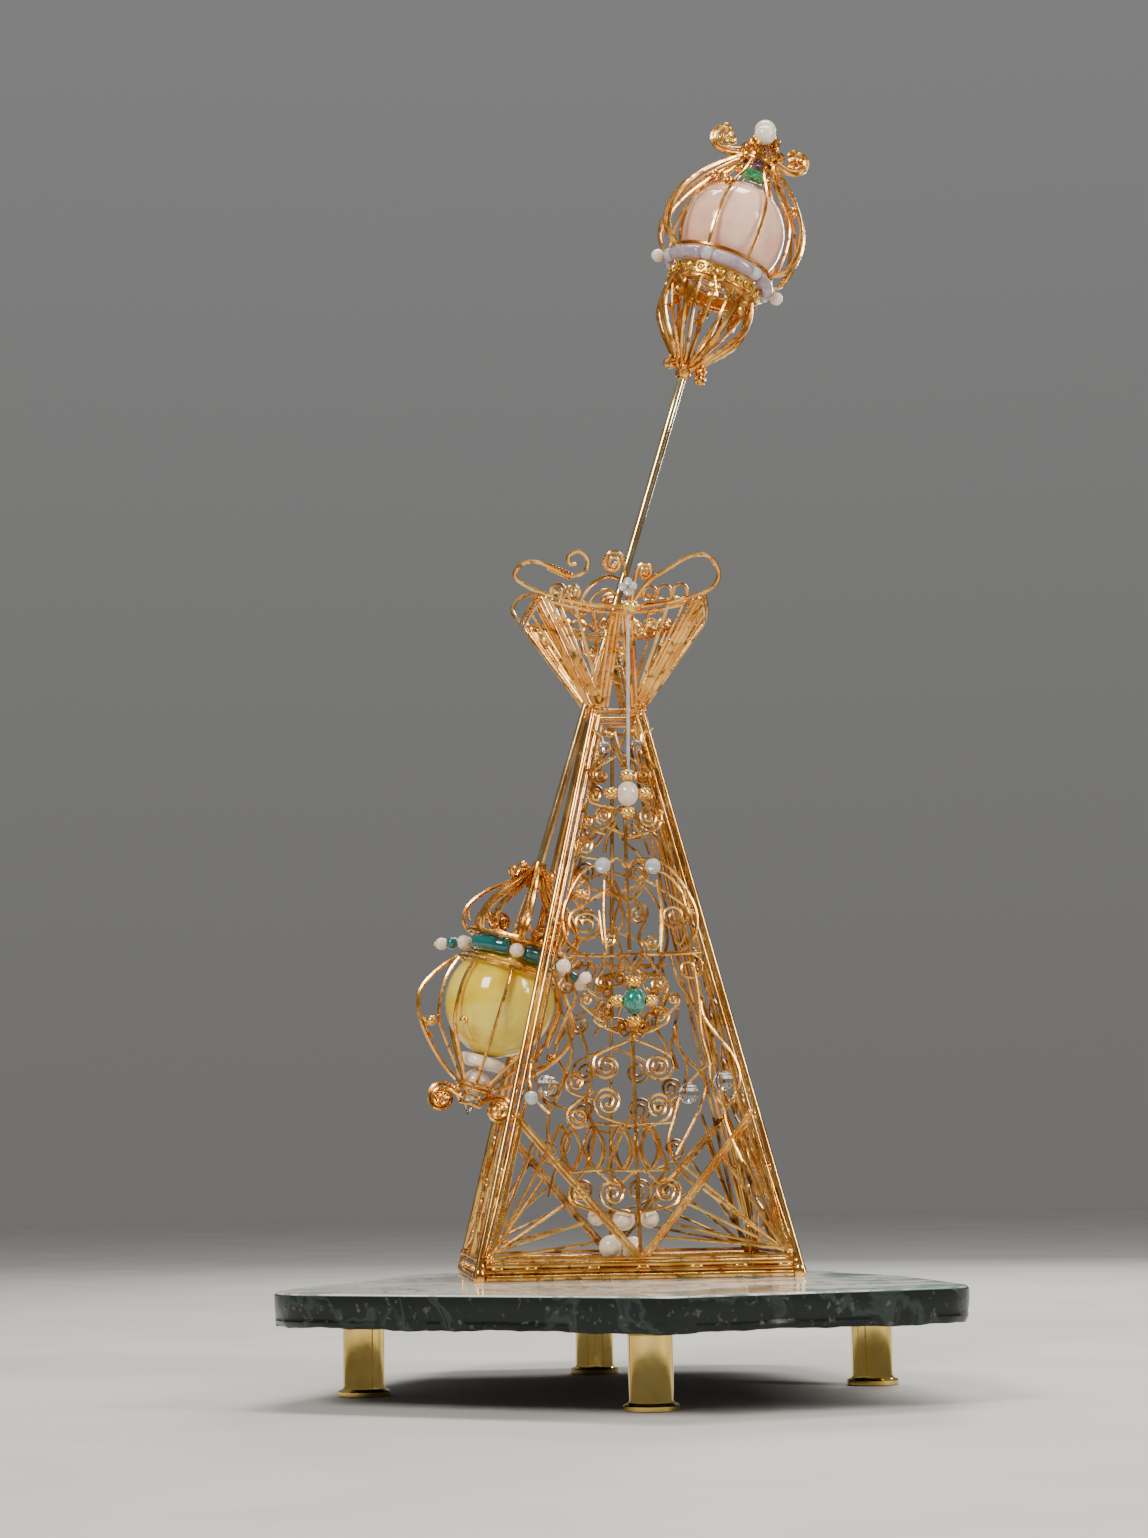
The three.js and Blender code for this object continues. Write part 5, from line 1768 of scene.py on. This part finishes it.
    def _crest(self, seat: Matrix, finishes: Finishes) -> None:
        """The green and mauve beads, the scrolls and the finials."""
        tube = TubeRun([seat @ Vector((mix(-6.5, 6.5, share), mix(-1.0, -3.0, share) - 5.5, mix(115.4, 114.2, share)))
                        for share in (0, 0.04, 0.12, 0.3, 0.5, 0.7, 0.88, 0.96, 1)], 3.4,
                       sizes=[0.6, 0.85, 1, 1, 1, 1, 1, 0.85, 0.6])
        keep(wirework("head_green_tube", [tube], 12), finishes["green_onyx"], Slot.MALACHITE, "head_green_bead")
        mauve = beads("head_mauve_stone", [(seat @ Vector((2.2, -1.5, 124.3)), 4.8)])
        keep(mauve, finishes["deep_amethyst"], Slot.AMETHYST, "head_mauve_bead")
        clear = [(seat @ Vector((-8.4, -6.0, 118.4)), 2.4), (seat @ Vector((3.0, -7.5, 130.2)), 3.0)]
        keep(beads("head_crest_crystals", clear, Cut.FACETED), finishes["crystal"], Slot.CRYSTAL)
        shape = Ornament(seat)
        for side, centre, radius in ((-1, (-21.6, 133.4), 8.8), (1, (20.0, 133.4), 8.2)):
            shape.standing_scroll(centre, radius, (side * 6.0, 127.5), side, 1.25, 1.2)
            shape.standing_scroll(centre, radius * 0.82, (side * 7.0, 130.5), side, 1.1, 1.0, depth=-2.0)
            for turn in range(3):
                angle = TURN * turn / 3 + 0.4 * side
                spot = (centre[0] + radius * 0.48 * math.cos(angle), centre[1] + radius * 0.48 * math.sin(angle))
                shape.standing_scroll(spot, radius * 0.36, centre, side, 1.4, 0.85, depth=-1.0)
        for step in range(6):
            bearing = TURN * step / 6 + 0.3
            shape.standing_scroll((8.0, 130.4), 3.6, (6, 126), 1, 1.6, 0.85, bearing)
            shape.standing_scroll((5.4, 136.4), 2.8, (3, 132), 1, 1.4, 0.8, bearing + 0.5)
        for centre, radius in (((-8.0, -4, 128), 3.2), ((9.6, -3, 131), 3.2), ((-4.6, -6.4, 134), 2.8), ((5.4, -5, 137.4), 2.6),
                               ((-7.0, 2, 123), 2.8), ((8.0, -4.6, 123.6), 2.6)):
            shape.knot(centre, radius, 0.8, centre[0])
        shape.hoop(4.8, 129.2, 1.0, count=20)
        for x, z in ((-7.6, 115.6), (7.6, 114.0)):
            shape.grains.append((shape.at(x, -7.6, z), 2.0))
            shape.knot((x, -7.4, z), 2.5, 0.7, x)
        knob = turned("knob", [(0, 128.6), (3.0, 128.6), (3.8, 130), (4.4, 132.6), (3.4, 135.6), (2.0, 137), (0, 137)], 20, seat)
        crest = joined("head_crest_scrolls", [shape.build("crest"), knob])
        keep(crest, finishes["gilt"], Slot.GILT, "head_scrolls")
        for name, place in (("front", (-1.2, -7.0, 138.8)), ("back", (-1.6, 5.6, 147))):
            bead = beads(f"head_finial_{name}_bead", [(seat @ Vector(place), 5.8)], Cut.ROUND, (1, 1, 0.98))
            keep(bead, finishes["ivory"], Slot.PEARL, f"head_finial_{name}")


# ---------------------------------------------------------------- studio
@dataclass
class Lamp:
    """A softbox: where it stands, what it points at, its size and its strength."""

    name: str
    place: Colour
    target: Colour
    size: Flat
    power: float
    colour: Colour = (1.0, 0.97, 0.93)

    def build(self) -> None:
        """Sets the softbox up."""
        deselect()
        bpy.ops.object.light_add(type="AREA", location=self.place)
        lamp = named(self.name)
        lamp.data.shape = "RECTANGLE"
        lamp.data.size, lamp.data.size_y = self.size
        lamp.data.energy = self.power
        lamp.data.color = self.colour
        lamp.rotation_euler = (Vector(self.target) - Vector(self.place)).to_track_quat("-Z", "Y").to_euler()


@dataclass
class Studio:
    """The pale ground, the lamps, the world's light and the camera."""

    eye: Colour = (-140.5, -1375.0, 102.0)
    yaw: float = 5.5
    pitch: float = 8.18
    roll: float = 0.9
    focal: float = 2835.0
    frame_size: tuple[int, int] = (1148, 1538)
    centre: Flat = (574.0, 769.0)
    sensor: float = 36.0

    def build(self, finishes: Finishes) -> None:
        """Sets up the whole studio."""
        self._ground(finishes)
        self._world()
        for lamp in self.lamps():
            lamp.build()
        self._camera()

    def lamps(self) -> list[Lamp]:
        """The softboxes."""
        aim = (0.0, 0.05, 0.33)
        return [
            Lamp("key_left", (-1.1, -1.3, 1.5), aim, (0.6, 0.8), 40),
            Lamp("key_right", (1.5, -0.9, 1.1), aim, (0.35, 0.9), 26),
            Lamp("top_strip", (0.1, 0.3, 1.9), aim, (1.0, 0.4), 24),
            Lamp("back_rim", (0.6, 1.5, 1.0), aim, (0.6, 0.5), 16),
        ]

    def _ground(self, finishes: Finishes) -> None:
        """A pale floor that sweeps up far behind the work."""
        deselect()
        bpy.ops.mesh.primitive_plane_add(size=1, location=(0, 0, 0))
        ground = named("studio_floor")
        bpy.ops.object.mode_set(mode="EDIT")
        bpy.ops.mesh.select_all(action="SELECT")
        bpy.ops.transform.resize(value=(12, 12, 1))
        bpy.ops.object.mode_set(mode="OBJECT")
        ground.data.materials.append(finishes["studio_ground"])

    def _world(self) -> None:
        """A plain grey sky, paler above."""
        world = bpy.data.worlds.new("studio")
        bpy.context.scene.world = world
        world.use_nodes = True
        tree = Tree(world.node_tree)
        axes = tree.add("SeparateXYZ")
        tree.link(tree.add("TexCoord").outputs["Generated"], axes.inputs[0])
        sky = tree.blend(tree.spread(axes.outputs["Z"], -0.1, 0.8), (0.55, 0.54, 0.52), (0.86, 0.87, 0.88))
        light = tree.add("Background", Strength=0.3)
        tree.link(sky, light.inputs["Color"])
        tree.link(light.outputs[0], tree.add("OutputWorld").inputs["Surface"])

    def _camera(self) -> None:
        """The camera at the viewing angle."""
        yaw, pitch, roll = (math.radians(angle) for angle in (self.yaw, self.pitch, self.roll))
        forward = Vector((math.sin(yaw) * math.cos(pitch), math.cos(yaw) * math.cos(pitch), math.sin(pitch)))
        right = Vector((math.cos(yaw), -math.sin(yaw), 0))
        up = right.cross(forward)
        right, up = (right * math.cos(roll) - up * math.sin(roll), right * math.sin(roll) + up * math.cos(roll))
        deselect()
        bpy.ops.object.camera_add()
        camera = named("camera")
        view = Matrix((right, up, -forward)).transposed().to_4x4()
        view.translation = Vector(self.eye) * MM
        camera.matrix_world = view
        camera.data.sensor_fit = "VERTICAL"
        camera.data.sensor_height = self.sensor
        camera.data.lens = self.focal / self.frame_size[1] * self.sensor
        camera.data.clip_end = 50
        bpy.context.scene.camera = camera


# ---------------------------------------------------------------- assembly
def build_stand(finishes: Finishes) -> None:
    """The slab and its feet."""
    keep(Slab(top=top_of("stone_slab")).build(), finishes["slab_stone"], Slot.STONE, "stone_slab")
    feet = Feet()
    for side, foot in zip(feet.sides, feet.build()):
        keep(foot, finishes["brass"], Slot.BRASS, f"foot_{side}")


def build_tower(finishes: Finishes) -> None:
    """The wire tower with its gems."""
    plan = TowerPlan.from_frame()
    posts = Posts(plan)
    for name in posts.corners:
        keep(posts.build(name), finishes["gilt_post"], Slot.GILT, f"post_{name}")
    for side in FACES:
        keep(Rails(plan).build(side), finishes["gilt"], Slot.GILT, f"base_rail_{side}")
        keep(Crown(plan).build(side), finishes["gilt"], Slot.GILT, f"crown_{side}")
    keep(Waist(plan).build(), finishes["gilt"], Slot.GILT, "waist_ring")
    keep(FrontFiligree(plan).build(), finishes["gilt"], Slot.GILT, "filigree_front")
    # the right and back filigree take the gilt with painted shade, darker than the front
    for side in ("right", "back"):
        keep(PlainPanel(plan, side).build(), finishes["gilt_painted_shade"], Slot.GILT, f"filigree_{side}")
    for side, name in ((1, "front"), (-1, "back")):
        keep(LeftBrace(plan).build(side), finishes["gilt"], Slot.GILT, f"brace_left_{name}")
    TowerGems(plan).build(finishes)


def build_sceptre(finishes: Finishes) -> None:
    """The sceptre that leans in the tower."""
    plan = SceptrePlan.from_frame()
    keep(Rod(plan).build(), finishes["rod_gilt"], Slot.GILT, "sceptre_rod")
    Pommel(plan).build(finishes)
    Head(plan).build(finishes)


def main() -> None:
    """Builds the finishes, the work and the studio in order."""
    logging.basicConfig(level=logging.INFO, format="%(message)s")
    finishes = Finishes(top_of("stone_slab"))
    finishes.build()
    build_stand(finishes)
    build_tower(finishes)
    build_sceptre(finishes)
    Studio().build(finishes)


if __name__ == "__main__":
    main()
